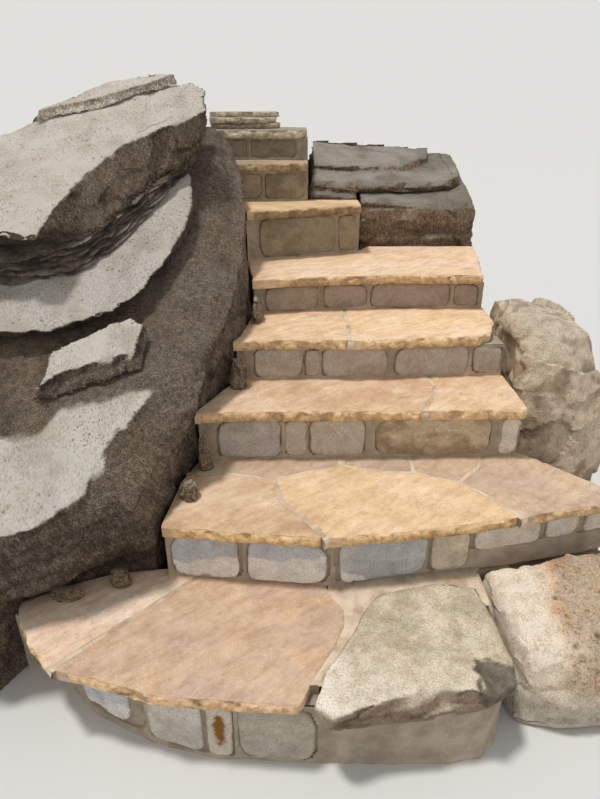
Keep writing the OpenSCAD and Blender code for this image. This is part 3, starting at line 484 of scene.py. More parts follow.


# Colours of each tread's flags from left to right: body, blotches, cloudy patches, worked nose. The noses of
# the fifth to seventh treads are darker, as painted shade over the upper steps
FLAG_LOOKS = {
    "step_1_tread": [
        ((242, 216, 190), (234, 202, 172), (246, 226, 204), (226, 196, 158)),
        ((212, 182, 153), (216, 183, 146), (198, 170, 150), (222, 188, 146)),
    ],
    "step_2_tread": [
        ((216, 184, 148), (196, 158, 126), (232, 204, 172), (216, 182, 134)),
        ((204, 176, 150), (186, 156, 134), (214, 190, 164), (206, 174, 134)),
        ((200, 175, 152), (188, 163, 144), (208, 184, 162), (206, 174, 134)),
        ((232, 199, 158), (222, 186, 142), (238, 208, 172), (208, 174, 128)),
        ((210, 182, 154), (198, 170, 148), (218, 192, 164), (206, 174, 134)),
        ((214, 187, 158), (200, 173, 151), (222, 194, 160), (216, 184, 142)),
    ],
    "step_3_tread": [
        ((226, 194, 160), (214, 178, 142), (232, 206, 176), (212, 180, 138)),
        ((234, 204, 168), (226, 190, 150), (240, 214, 184), (216, 184, 142)),
    ],
    "step_4_tread": [
        ((236, 204, 166), (224, 190, 152), (240, 212, 178), (212, 182, 140)),
        ((242, 208, 168), (232, 196, 152), (244, 216, 182), (216, 186, 142)),
    ],
    # From here up to the seventh tread the noses are darker: painted shade over the upper steps
    "step_5_tread": [((238, 206, 170), (226, 190, 152), (242, 214, 184), (192, 162, 124))],
    "step_6_tread": [((226, 194, 152), (206, 172, 128), (232, 204, 166), (148, 126, 96))],
    "step_7_tread": [((186, 166, 136), (164, 144, 116), (196, 178, 150), (160, 140, 112))],
    "step_8_tread": [((158, 148, 134), (132, 122, 108), (176, 166, 150), (198, 182, 156))],
    "step_9_riser_slab": [((166, 154, 136), (138, 126, 112), (184, 172, 154), (176, 160, 138))],
    "step_9_tread": [((176, 166, 150), (150, 140, 124), (196, 186, 168), (190, 176, 154))],
    "step_10_tread": [((186, 178, 164), (160, 152, 138), (204, 196, 180), (192, 182, 162))],
}

# Sizes of what marks a flag: nose chips, nose hollows, thin spalls, blotches and rubbed spots
NOSE_CHIP = (44 * MM, 44 * MM, 30 * MM)
NOSE_HOLLOW = (62 * MM, 62 * MM, 60 * MM)
SPALL = (0.12, 0.09, 0.1)
BLOTCH = np.array((0.20, 0.13, 0.1))
RUBBED = (0.05, 0.035, 0.05)
# A flag's worked nose: shares of its thickness, and how far the nose stands out there
NOSE_REACH = ((0.10, 2.4 * MM), (0.22, 4.4 * MM), (0.36, 5.6 * MM), (0.5, 6.2 * MM), (0.64, 6.0 * MM),
              (0.78, 5.0 * MM))
PLAIN_REACH = 1.2 * MM
# The rows of FLAG_LOOKS from this one on are the thin flags at the top of the flight
FIRST_THIN = 8


def flag_rim(points, tris, normals):
    """Rim of a flag's top, and which of its edges are open noses."""
    top = points[:, 2].max()
    chosen = (normals[:, 2] > 0.99) & (points[tris][:, :, 2].min(axis=1) > top - 0.5 * MM)
    loop, outer = rim(tris, chosen)
    free = [o is not None and normals[o][2] > 0.05 for o in outer]
    return points[loop][:, :2], free, top


def flag_edge(t):
    """Rings down the edge of a flag of thickness t: depth, reach of a worked nose, reach of a plain edge."""
    rings = [(share * t, reach, PLAIN_REACH) for share, reach in NOSE_REACH]
    return [(0.03 * t, 0.6 * MM, 0.8 * MM), *rings, (0.9 * t, 3.0 * MM, 1.0 * MM), (t, 0.0, 0.0)]


def chip_nose(stone, side, t, seed):
    """Chips struck out of the noses from above, with sharp ridges between them: the new places, how far the
    chips stand out and how deep the hollows are."""
    v = stone.verts
    n = vertex_normals(v, stone.faces)
    chips = facets(v, NOSE_CHIP, seed + 3)
    near, own = cells(v, NOSE_HOLLOW, seed + 4)
    hollow = np.clip(0.62 - near, 0, 1) * 15 * MM * (own > 0.35)
    ridge = fractal(v, 13 * MM, seed + 5, 2) * 1.2 * MM
    work = np.clip(np.minimum(stone.depth, t - stone.depth * 0.9) / (0.22 * t), 0.3, 1)
    flat = np.c_[n[:, :2], np.zeros(len(v))]
    flat = flat / np.maximum(np.linalg.norm(flat, axis=1), 0.3)[:, None]
    push = np.clip(1.3 * ridge + 6.5 * MM * chips - 1.2 * hollow, -11 * MM, 3 * MM)
    return v + flat * (side * stone.free * work * push)[:, None], chips, hollow


def split_top(v, stone, t, seed):
    """Gives a flag's top gentle relief with thin spalls, and bites out of its upper edge."""
    swell = fractal(v, 0.16, seed + 7, 3) * 1.1 * MM
    layer = fractal(v, SPALL, seed + 9, 3)
    spall = np.floor(layer * 2.6) / 2.6 * 0.9 * MM
    relief = np.minimum(swell + spall, 0.6 * MM)
    v[:, 2] += np.where(stone.kind == 0, relief, 0) * (1 - 0.4 * stone.free)
    rimmed = (stone.free > 0.3) & (stone.depth < 0.14 * t)
    bite = np.clip(fractal(v, 0.026, seed + 13, 2) - 0.05, 0, 1) * 6 * MM
    v[:, 2] -= np.where(rimmed, bite, 0)


def flag_top_tint(v, body, blotch, cloudy, seed):
    """Blotches, cloudy patches and paler spots where the top is rubbed."""
    tint = paint(v, body, (blotch, patches(v, 0.0, 0.6, BLOTCH, seed + 21, 4) * 0.9),
                 (cloudy, patches(v, 0.05, 0.65, BLOTCH * 0.8, seed + 31, 4) * 0.8))
    return blend(tint, tint * 1.10 + 0.03, patches(v, 0.35, 0.8, RUBBED, seed + 37) * 0.5)


def one_flag(solid, look, seed, thin):
    """A split flag: its relief, its colours, and how broken it is at each point."""
    ring, free, top = flag_rim(*solid)
    t = top - solid[0][:, 2].min()

    def place(plane, deep):
        return np.c_[plane, top - deep]

    stone = dress(ring, free, place, flag_edge(t), fine=5 * MM, coarse=14 * MM, spacing=13 * MM, seed=seed,
                  wobble=2.6 * MM, bands=(6 * MM, 14 * MM))
    side = (stone.kind > 0) & (stone.free > 0.12)
    v, chips, hollow = chip_nose(stone, side, t, seed)
    split_top(v, stone, t, seed)
    body, blotch, cloudy, nose = (srgb(*c) for c in look)
    tint = flag_top_tint(v, body, blotch, cloudy, seed)
    nosed = np.where(side, 1.0, 0.0) * smooth(0.02, 0.2, stone.depth / t)
    low = smooth(0.5, 1.0, stone.depth / t) * side
    # The nose is paler where its chips stand out and darker where they sink: painted highlight and shade,
    # with some random tone
    shade = 1 + 0.26 * fractal(v, 0.02, seed + 41, 3) + 0.22 * chips
    tint = blend(tint, nose * NOSE_LIFT * shade[:, None], nosed * 0.9)
    # Darker in the nose's hollows: painted shade
    tint = blend(tint, nose * 0.75, np.clip(hollow / (8 * MM), 0, 1) * nosed * 0.35)
    # Darker towards the bottom of the edge, under the nose: painted shade
    tint = tint * (1 - 0.2 * low)[:, None]
    # A paler band along the top of the worked edge: painted highlight on the arris
    crest = (stone.kind == 0) * smooth(0.25, 0.9, stone.free) * (1 - 0.6 * thin)
    tint = blend(tint, nose * 1.1 + 0.02, crest * 0.35)
    return keep_in_box(v), stone.faces, limit(tint), np.clip(0.12 + 0.88 * nosed, 0, 1)


def add_flags(material):
    """One piece for the flags of each tread."""
    for s, (node, looks) in enumerate(FLAG_LOOKS.items()):
        heap = Heap()
        for n, solid in enumerate(islands(node)):
            look = looks[min(n, len(looks) - 1)]
            heap.add(*one_flag(solid, look, 40 * s + 7 * n + 3, s >= FIRST_THIN))
        heap.make(node + "_flags", material, "flagstone", (node,), STONE_CREASE)


BLUE_GREY = (163, 167, 172)
PALE_GREY = (190, 184, 174)
WARM_GREY = (180, 169, 154)
OCHRE_GREY = (178, 162, 136)
RUST = (122, 80, 26)
CHALK = srgb(252, 247, 238)
MORTAR_SHADE = srgb(186, 172, 154)
MORTAR_PALE = srgb(232, 212, 186)
JOINT_TAN = srgb(204, 180, 152)
JOINT_DARK = srgb(120, 98, 76)
# The upper risers are darker, as painted shade over the upper steps
RISER_PAINTED_SHADE = {3: 0.88, 4: 0.84, 5: 0.72, 6: 0.64, 7: 0.64, 8: 0.75}

# Each riser's stones from left to right: body, second colour, share of white crust low down, coarseness
RISER_LOOKS = {
    1: [((178, 178, 180), (160, 162, 166), 0.42, 0.3), ((180, 172, 162), (166, 160, 150), 0.0, 0.3),
        ((176, 166, 154), RUST, 0.0, 0.2), ((162, 152, 140), (148, 140, 128), 0.0, 0.3)],
    2: [(BLUE_GREY, (160, 160, 158), 0.6, 0.4), ((168, 171, 175), (155, 159, 164), 0.95, 0.4),
        ((170, 172, 172), (158, 160, 160), 0.25, 0.3), ((196, 184, 162), (174, 164, 146), 0.0, 0.5),
        (PALE_GREY, WARM_GREY, 0.0, 0.2), ((182, 178, 172), WARM_GREY, 0.0, 0.2),
        (WARM_GREY, PALE_GREY, 0.0, 0.3)],
    3: [((172, 166, 158), (158, 150, 142), 0.0, 0.6), ((174, 166, 156), WARM_GREY, 0.0, 0.4),
        ((172, 166, 156), WARM_GREY, 0.0, 0.6), ((188, 172, 146), (150, 132, 106), 0.0, 1.0),
        ((204, 196, 180), PALE_GREY, 0.0, 0.3)],
    4: [((176, 166, 154), (166, 154, 140), 0.0, 0.4)] * 5,
    5: [((166, 152, 138), (156, 142, 126), 0.0, 0.4)] * 4,
    6: [((160, 148, 122), (142, 130, 106), 0.0, 0.5), ((166, 150, 122), (142, 130, 106), 0.0, 0.5)],
    7: [((168, 154, 128), (142, 130, 108), 0.0, 0.5)] * 2,
    8: [((140, 130, 116), (114, 106, 94), 0.0, 0.6)] * 2,
}

# Sizes of a riser stone's colour patches and of the broken faces in its crust
RISER_PATCH = (0.08, 0.08, 0.05)
CRUST_FACE = (30 * MM, 30 * MM, 20 * MM)
# A riser stone's rounded edge: depths, and how far it stands out there and at its back
BACK_REACH = 9.4 * MM
ROUNDED = ((0.5 * MM, 3.6 * MM), (1.6 * MM, 6.2 * MM), (3.2 * MM, 8.0 * MM), (5.5 * MM, 9.0 * MM),
           (11 * MM, BACK_REACH))


def face_rim(points, tris, normals):
    """Rim of a riser stone's front, in the plane it lies in, and that plane's middle and directions."""
    a, b, c = (points[tris[:, n]] for n in range(3))
    area = np.linalg.norm(np.cross(b - a, c - a), axis=1)
    front = (normals[:, 1] < -0.3) & (np.abs(normals[:, 2]) < 0.1)
    best = None
    for n in np.flatnonzero(front):
        same = front & (normals @ normals[n] > 0.999) & (np.abs((a - a[n]) @ normals[n]) < 0.5 * MM)
        size = area[same].sum()
        if best is None or size > best[0]:
            best = (size, same, n)
    _, chosen, n = best
    out = normals[n] * np.array((1, 1, 0))
    out = out / np.linalg.norm(out)
    right = np.cross(UP, out)
    loop, _ = rim(tris, chosen)
    centre = points[loop].mean(axis=0)
    ring = np.stack([(points[loop] - centre) @ right, (points[loop] - centre) @ UP], axis=1)
    return ring, centre, out, right


def crust_top(v, across, crust, seed):
    """How high up a riser stone its white crust reaches, in shares of its height."""
    lean = 0.25 * crust if crust > 0.3 else -0.9
    return 0.62 * crust + 0.22 * fractal(v, 0.08, seed + 3, 3) + lean * (across + 0.3 * (crust < 0.3))


def riser_tint(v, deep, look, h, across, white, seed):
    """Two colours in patches, the white crust, and mortar smeared over the rim."""
    patch = patches(v, -0.3, 0.6, RISER_PATCH, seed + 21)
    if look[1] is RUST:
        spot = np.hypot((across + 0.02) / 0.30, (h - 0.54) / 0.34)
        patch = smooth(1.1, 0.8, spot + 0.2 * fractal(v, 0.015, seed + 2, 3))
    tint = paint(v, srgb(*look[0]), (srgb(*look[1]), patch))
    fine = fractal(v, 7 * MM, seed + 23, 2)
    tint = tint * (1 + (0.04 + 0.10 * look[3]) * fine)[:, None]
    tint = blend(tint * RISER_LIFT, CHALK * (1.05 + 0.1 * fine)[:, None], white * 0.96)
    smear = smooth(0.0, 3.5 * MM, deep + 2.5 * MM * fractal(v, 0.02, seed + 25, 3))
    smear = smear * smooth(0.0, 1.2 * MM, deep)
    return limit(blend(tint, MORTAR_SHADE, smear * 0.85))


def one_riser_stone(solid, look, seed):
    """A rounded riser stone: its relief, its colours, and how broken it is at each point."""
    ring, centre, out, right = face_rim(*solid)
    depth = -((solid[0] - centre) @ out).min()

    def place(plane, deep):
        return centre + plane[:, :1] * right + plane[:, 1:2] * UP - np.asarray(deep)[:, None] * out

    edge = [(deep, reach, reach) for deep, reach in (*ROUNDED, (depth, BACK_REACH))]
    stone = dress(ring, [True] * len(ring), place, edge, fine=6 * MM, coarse=9 * MM, spacing=8 * MM,
                  seed=seed, round_off=1, wobble=3.6 * MM)
    v = stone.verts
    low, high = ring[:, 1].min(), ring[:, 1].max()
    h = ((v - centre) @ UP - low) / (high - low)
    across = (v - centre) @ right / max(np.ptp(ring[:, 0]), 0.01)
    crust, coarse = look[2:]
    skin = stone.depth < 8 * MM
    line = crust_top(v, across, crust, seed)
    white = smooth(0.02, -0.02, h - line) * (crust > 0) * skin
    broken = facets(v, CRUST_FACE, seed + 5) * 8 * MM + fractal(v, 9 * MM, seed + 7, 2) * 1.6 * MM
    broken = broken + (0.55 * line - h) * 12 * MM + 1.5 * MM
    face = fractal(v, 0.06, seed + 9, 3) * 1.2 * MM + facets(v, 0.045, seed + 6) * (1 + 2.5 * coarse) * MM
    push = np.where(skin, face * (1 - white) + broken * white, 0)
    v = v + np.clip(push, -2.6 * MM, 5.0 * MM)[:, None] * out
    tint = riser_tint(v, stone.depth, look, h, across, white, seed)
    return v, stone.faces, tint, np.clip(0.2 + 0.6 * coarse * skin + 0.6 * white, 0, 1)


def add_riser_stones(material):
    """One piece for the stones of each riser."""
    for k, looks in RISER_LOOKS.items():
        node = f"step_{k}_riser_stones"
        heap = Heap()
        for n, solid in enumerate(islands(node)):
            look = looks[min(n, len(looks) - 1)]
            verts, faces, tint, rough = one_riser_stone(solid, look, 900 + 31 * k + 5 * n)
            # The upper risers' stones take painted shade
            heap.add(verts, faces, tint * RISER_PAINTED_SHADE.get(k, 1.0), rough)
        heap.make(f"step_{k}_faced_stones", material, "rubble", (node,), STONE_CREASE)


MORTAR_GRID = 5.5 * MM
JOINT_GRID = 4 * MM
# Level below the flags' tops at which the joints are looked for
JOINT_LEVEL = 7 * MM
# How far pointing spreads from a joint, between flags and beside the boulder slab, and how near that is
JOINT_REACH, SLAB_REACH, NEAR_SLAB = 11 * MM, 17 * MM, 22 * MM
# Treads with joints between their flags
JOINTED = (1, 2, 3, 4)
# Pointing at the open end of a joint: half its width, and its rows and columns of points
END_HALF = 13 * MM
END_ROWS = 9
END_COLUMNS = 6
# Rays start from this y, in front of the flight, or this far out from a joint's end
FAR_FRONT = -3.0
PROBE = 0.3


def tree_of(node):
    """A CAD node's surface, for rays and nearest places."""
    points, tris = surface(node)
    return BVHTree.FromPolygons(points.tolist(), tris)


def front_at(tree, x, z):
    """Where a ray from the front first meets a surface, or None."""
    hit = tree.ray_cast(Vector((x, FAR_FRONT, z)), Vector((0, 1, 0)))[0]
    return None if hit is None else hit[1]


def core_front(k, lo, hi, under, floor):
    """Even places along a course, and how far forward its core stands there."""
    tree = tree_of(f"step_{k}_core")
    xs = np.arange(lo + 2 * MM, hi - 1 * MM, MORTAR_GRID)
    front = []
    for x in xs:
        hits = [front_at(tree, x, z) for z in (under - 3.5 * MM, floor + 4 * MM)]
        front.append(min((y for y in hits if y is not None), default=np.nan))
    front = np.array(front)
    good = ~np.isnan(front)
    if k == 1:
        good &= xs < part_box("boulder_slab")[1][0] - 0.02
    return xs[good], front[good]


def grid_faces(rows, columns):
    """Faces between each of the given rows of a grid of points and the next."""
    starts = [row * columns + j for row in rows for j in range(columns - 1)]
    return [(a, a + columns, a + columns + 1, a + 1) for a in starts]


def mortar_face(k, material):
    """Mortar drawn up round the stones of one riser, over the front of its core."""
    lo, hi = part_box(f"step_{k}_core")
    under = max(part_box(f"step_{k}_tread")[0][2], lo[2])
    floor = 0.0 if k == 1 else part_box(f"step_{k - 1}_tread")[1][2]
    xs, front = core_front(k, lo[0], hi[0], under, floor)
    zs = np.append(np.arange(floor - 2 * MM, under, MORTAR_GRID), under)
    gx, gz = np.meshgrid(xs, zs, indexing="ij")
    gy = np.repeat(front[:, None], len(zs), axis=1)
    v = np.stack([gx, gy, gz], axis=2).reshape(-1, 3)
    proud = (8.4 if k > 2 else 6.4) * MM + 2.4 * MM * fractal(v, 0.05, 70 + k, 3)
    proud = proud + 0.9 * MM * fractal(v, 11 * MM, 80 + k, 2)
    slope = np.gradient(front, xs)
    lean = 1 / np.sqrt(1 + np.clip(slope, -1.2, 1.2) ** 2)
    v[:, 1] -= np.maximum(proud, 0.8 * MM) / np.repeat(lean, len(zs))
    stones = tree_of(f"step_{k}_riser_stones")
    for n, p in enumerate(v):
        hit = front_at(stones, p[0], p[2])
        if hit is not None:
            v[n, 1] = max(p[1], hit + 3 * MM)
    faces = grid_faces(np.flatnonzero(np.abs(np.diff(front)) <= 14 * MM).tolist(), len(zs))
    # Mortar of the upper courses is darker: painted shade over the upper steps
    upper_painted_shade = smooth(3, 6, k) * 0.12
    tint = paint(v, MORTAR_SHADE * (0.9 - upper_painted_shade),
                 (MORTAR_SHADE * 1.22, patches(v, -0.2, 0.6, 0.09, 90 + k) * 0.6),
                 (MORTAR_PALE, smooth(0.03, 0.0, v[:, 2] - floor) * 0.35))
    piece(f"step_{k}_mortar_face", v, faces, limit(tint), 0.5, material, "mortar")


def joint_places(k, top, joints, slab):
    """The places of an even grid that lie over a tread's joints, by their row and column."""
    lo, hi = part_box(f"step_{k}_tread")
    if k == 1:
        hi = np.maximum(hi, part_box("boulder_slab")[1])
    xs = np.arange(lo[0], hi[0], JOINT_GRID)
    ys = np.arange(lo[1] + 2 * MM, hi[1], JOINT_GRID)
    found = {}
    for (i, x), (j, y) in itertools.product(enumerate(xs), enumerate(ys)):
        place = Vector((x, y, top - JOINT_LEVEL))
        by_slab = k == 1 and slab.find_nearest(place, NEAR_SLAB)[0] is not None
        near = joints.find_nearest(place, SLAB_REACH if by_slab else JOINT_REACH)[0]
        if near is not None and near[1] - y < 6 * MM:
            found[(i, j)] = (x, y, top)
    return found


def net_faces(places):
    """Faces between grid places whose neighbours are there too."""
    number = {place: n for n, place in enumerate(places)}
    faces = []
    for (i, j), n in number.items():
        around = [number.get(place) for place in ((i + 1, j), (i + 1, j + 1), (i, j + 1))]
        if None not in around:
            faces.append((n, *around))
    return faces


def joint_tint(k, v, top, joints):
    """Pale pointing with tan patches, and dark where it has shrunk from the flags."""
    gap = np.array([joints.find_nearest(Vector((p[0], p[1], top - JOINT_LEVEL)))[3] for p in v])
    dark = smooth(2.0 * MM, 4.0 * MM, gap) * smooth(8 * MM, 6 * MM, gap)
    dark = dark * patches(v, -0.15, 0.2, 0.05, 68 + k)
    return paint(v, MORTAR_PALE, (JOINT_TAN, patches(v, -0.1, 0.7, 0.06, 63 + k)), (JOINT_DARK, dark * 0.5))


def draw_up(v, tint, top):
    """Draws the first tread's pointing up to the second riser, and returns its colours."""
    riser = tree_of("step_2_core")
    foot = np.array([riser.find_nearest(Vector((*p[:2], top + 20 * MM)))[3] for p in v])
    fillet = smooth(46 * MM, 14 * MM, foot + 10 * MM * fractal(v, 0.04, 69, 3)) * (v[:, 0] > -0.03)
    v[:, 2] += 9 * MM * fillet ** 2
    # The fillet takes the riser mortar's colour, darkened further as painted shade at the riser's foot
    return blend(tint, MORTAR_SHADE * 0.8, fillet)


def joint_skin(material):
    """Pale pointing between the flags, trowelled, a little uneven and drawn up to the slab's sides."""
    joints = tree_of("flag_pointing")
    slab = tree_of("boulder_slab")
    heap = Heap()
    for k in JOINTED:
        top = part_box(f"step_{k}_tread")[1][2]
        places = joint_places(k, top, joints, slab)
        v = np.array(list(places.values()))
        uneven = -1.8 * MM + 1.3 * MM * fractal(v, 0.05, 60 + k, 3)
        v[:, 2] += uneven + 0.4 * MM * fractal(v, 9 * MM, 61 + k, 2)
        tint = joint_tint(k, v, top, joints)
        if k == 1:
            tint = draw_up(v, tint, top)
        heap.add(v, net_faces(places), tint, 0.5)
    for k in JOINTED:
        joint_ends(k, heap)
    heap.make("flag_joint_pointing", material, "mortar")


def open_ends(points, tris, normals, flags, middle):
    """The ends of a tread's joints that face out between the noses: the middle of each and its direction."""
    found = []
    corner = points[tris[:, 0]]
    forward = np.flatnonzero((np.abs(normals[:, 2]) < 0.1) & (normals[:, 1] < -0.3))
    for n in sorted(forward, key=lambda m: corner[m, 1]):
        same = (normals @ normals[n] > 0.999) & (np.abs((corner - corner[n]) @ normals[n]) < 0.5 * MM)
        face = points[np.unique(tris[same])][:, :2]
        along = normals[n, :2] / np.linalg.norm(normals[n, :2])
        aside = np.array((-along[1], along[0]))
        end = (face.min(axis=0) + face.max(axis=0)) / 2
        if np.ptp(face @ aside) > 32 * MM or any(np.linalg.norm(end - other) < 0.1 for other, _ in found):
            continue
        if flags.ray_cast(Vector((*(end + along * MM), middle)), Vector((*along, 0)))[0] is None:
            found.append((end, along))
    return found


def end_reach(flags, end, along, aside, middle):
    """How far the pointing at a joint's end may come forward between the noses beside it, or None."""
    hits = []
    for s in (-1, 1):
        start = Vector((*(end + along * PROBE + aside * s * 16 * MM), middle))
        hit = flags.ray_cast(start, Vector((*-along, 0)), 1.5 * PROBE)[0]
        if hit is not None:
            hits.append(PROBE - (start - hit).length)
    if len(hits) < 2 or not -30 * MM < min(hits) < 90 * MM:
        return None
    return max(min(hits) - 6 * MM, 4 * MM)


def joint_ends(k, heap):
    """Pointing drawn down the nose at the open end of each joint of a tread."""
    node = f"step_{k}_tread"
    flags = tree_of(node)
    base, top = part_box(node)[0][2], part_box(node)[1][2]
    middle = (base + top) / 2
    ends = []
    for points, tris, normals in islands("flag_pointing"):
        if top - 12 * MM < points[:, 2].max() < top + 1 * MM:
            ends += open_ends(points, tris, normals, flags, middle)
    columns = np.linspace(-END_HALF, END_HALF, END_COLUMNS)
    for n, (end, along) in enumerate(ends):
        aside = np.array((-along[1], along[0]))
        reach = end_reach(flags, end, along, aside, middle)
        if reach is None:
            continue
        rows = []
        for share in np.linspace(0, 1, END_ROWS):
            z = top - 1.5 * MM - (top - base - 2 * MM) * share
            bulge = 5 * MM * math.sin(math.pi * min(share * 1.2, 1))
            rows += [(*(end + along * (reach - 2 * MM + bulge) + aside * a), z) for a in columns]
        v = np.array(rows)
        v[:, :2] += along * (1.5 * MM * fractal(v, 0.02, 65 + n, 2))[:, None]
        back = np.array([(*(end - along * 8 * MM + aside * a), top - 1.8 * MM) for a in columns])
        v = np.concatenate([back, v])
        low = smooth(top - 0.3 * (top - base), base, v[:, 2])
        # Painted lighter, like the noses, as it faces down the steps away from the light, and back to about
        # its own colour at the bottom
        tint = paint(v, MORTAR_PALE * 1.3, (MORTAR_PALE * 0.95, low))
        heap.add(v, grid_faces(range(END_ROWS), END_COLUMNS), limit(tint), 0.5)


# Sizes of the rock's features, with the third axis across the bedding: thick and thin layers, lumps, grit,
# broken faces, chips and terraces
LAYER = (0.2, 0.2, 0.026)
THIN_LAYER = (0.1, 0.1, 0.011)
LUMP = (0.26, 0.34, 0.2)
GRIT = (0.045, 0.06, 0.03)
BROKEN_FACE = (0.15, 0.20, 0.12)
CHIP = (0.045, 0.06, 0.035)
TERRACE = (0.16, 0.42, 0.5)
TOP_STREAK = (0.05, 0.2, 0.05)
TOP_GREYED = (0.3, 0.4, 0.3)

# Lit and shaded copies of the outcrop's rock: painted light on its pale tops and painted shade on its dark
# sides. The dark colour serves the dark layers and also painted shade where faces look down; the warm one is
# patches of the rock's own
ROCK_LIT_TOP = srgb(252, 243, 230)
ROCK_LIT_TOP_GREY = srgb(224, 214, 201)
ROCK_SHADED_SIDE = srgb(134, 121, 107)
ROCK_DARK = srgb(80, 72, 65)
ROCK_WARM = srgb(136, 118, 98)

# A face takes the painted light of a pale top where it looks up by more than this, and less so where it looks
# right, away from the light
LIT_FROM = 0.50
LIT_ASIDE = 0.62
# The slope of the beds behind the fifth tread and of the chinking
LEDGE_SLOPE = 0.2
# On the outcrop's base the painted light of the pale top ends along this line, given as x and y; behind it
# the top keeps painted shadow from the beds above
BASE_LIT_X = (-0.98, -0.94, -0.705)
BASE_LIT_Y = (0.33, 0.42, 0.485)


def remeshed(node, voxel):
    """An even, fine mesh over a CAD node: its points and faces."""
    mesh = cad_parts[node].data.copy()
    source = bpy.data.objects.new("source", mesh)
    bpy.context.scene.collection.objects.link(source)
    weld = source.modifiers.new("weld", "WELD")
    weld.merge_threshold = SAME_PLACE
    even = source.modifiers.new("even", "REMESH")
    even.mode = "VOXEL"
    even.voxel_size = voxel
    ready = source.evaluated_get(bpy.context.evaluated_depsgraph_get())
    made = bpy.data.meshes.new_from_object(ready)
    verts = np.empty(len(made.vertices) * 3)
    made.vertices.foreach_get("co", verts)
    faces = [tuple(p.vertices) for p in made.polygons]
    bpy.data.objects.remove(source, do_unlink=True)
    bpy.data.meshes.remove(made)
    return verts.reshape(-1, 3), faces


def even_out(verts, faces, times):
    """Softens a mesh by drawing each point towards the middle of its neighbours."""
    quads = np.array([f if len(f) == 4 else (*f, f[0]) for f in faces])
    pairs = np.concatenate([quads[:, [0, 1]], quads[:, [1, 2]], quads[:, [2, 3]], quads[:, [3, 0]]])
    count = np.zeros(len(verts))
    np.add.at(count, pairs[:, 0], 1)
    np.add.at(count, pairs[:, 1], 1)
    for _ in range(times):
        total = np.zeros_like(verts)
        np.add.at(total, pairs[:, 0], verts[pairs[:, 1]])
        np.add.at(total, pairs[:, 1], verts[pairs[:, 0]])
        verts = verts + 0.5 * (total / np.maximum(count, 1)[:, None] - verts)
    return verts


def rock_mesh(node, voxel, softened):
    """A fine, softened mesh over a CAD node: its points, faces and normals."""
    verts, faces = remeshed(node, voxel)
    verts = even_out(verts, faces, softened)
    return verts, faces, vertex_normals(verts, faces)


class RockLook:
    """Relief and colours of one piece of bedded rock: how much it swells, how far its layers and its broken
    faces stand out, the lit colour of tops and the shaded colour of sides as painted light and shade, the
    dark colour of layers and of painted shade where faces look down, how often its mesh is softened, and
    the size of its features."""

    def __init__(self, swell, strata, broken, top=ROCK_LIT_TOP, side=ROCK_SHADED_SIDE, dark=ROCK_DARK, soft=1, size=1.0):
        self.swell, self.strata, self.broken = swell, strata, broken
        self.top, self.side, self.dark = top, side, dark
        self.soft, self.size = soft, size


def bedded_relief(b, steep, look, seed):
    """How far bedded rock stands out, by weathered layers on its sides and terraces on its tops. Also the
    layers and the fine grit, which its colours follow."""
    layers = grain(np.c_[b[:, :2] * 0.25, b[:, 2]], LAYER, seed)
    thin = grain(np.c_[b[:, :2] * 0.4, b[:, 2]], THIN_LAYER, seed + 3)
    lumps = fractal(b, LUMP, seed + 7)
    grit = fractal(b, GRIT, seed + 9)
    broken = facets(b + 0.02 * lumps[:, None], BROKEN_FACE, seed + 15)
    chips = facets(b + 0.01 * lumps[:, None], CHIP, seed + 16)
    side = look.strata * (0.7 * layers + 0.35 * thin) + look.swell * 0.6 * lumps
    side = side + look.broken * (broken + 0.3 * chips)
    terraces = np.floor(fractal(b, TERRACE, seed + 17) * 3.0) / 3.0
    top = look.swell * 0.25 * lumps + 0.005 * terraces + 0.0015 * grit
    push = steep * side + (1 - steep) * top + 0.0025 * look.size * grit
    return push - 0.35 * (look.swell + look.broken) * steep - 0.002, layers, grit


def bedded_tint(b, n, up, layers, grit, look, seed):
    """Painted shade on the dark, layered sides and painted light on the pale, streaked tops, with more
    painted shade where faces look down.
    """
    lit = paint(b, look.top, (look.top * 0.86, patches(b, -0.1, 0.7, TOP_STREAK, seed + 13)),
                (ROCK_LIT_TOP_GREY, patches(b, 0.15, 0.6, TOP_GREYED, seed + 19) * 0.35))
    tint = paint(b, look.side, (ROCK_WARM, patches(b, -0.2, 0.6, 0.22, seed + 11) * 0.45),
                 (look.dark, smooth(-0.1, 0.55, -layers + 0.5 * grit) * 0.55),
                 # Darker where faces look down, painted shade; the lit colour goes where up marks painted
                 # light
                 (look.dark, smooth(0.1, -0.5, n[:, 2]) * 0.75), (lit, up))
    return limit(tint)


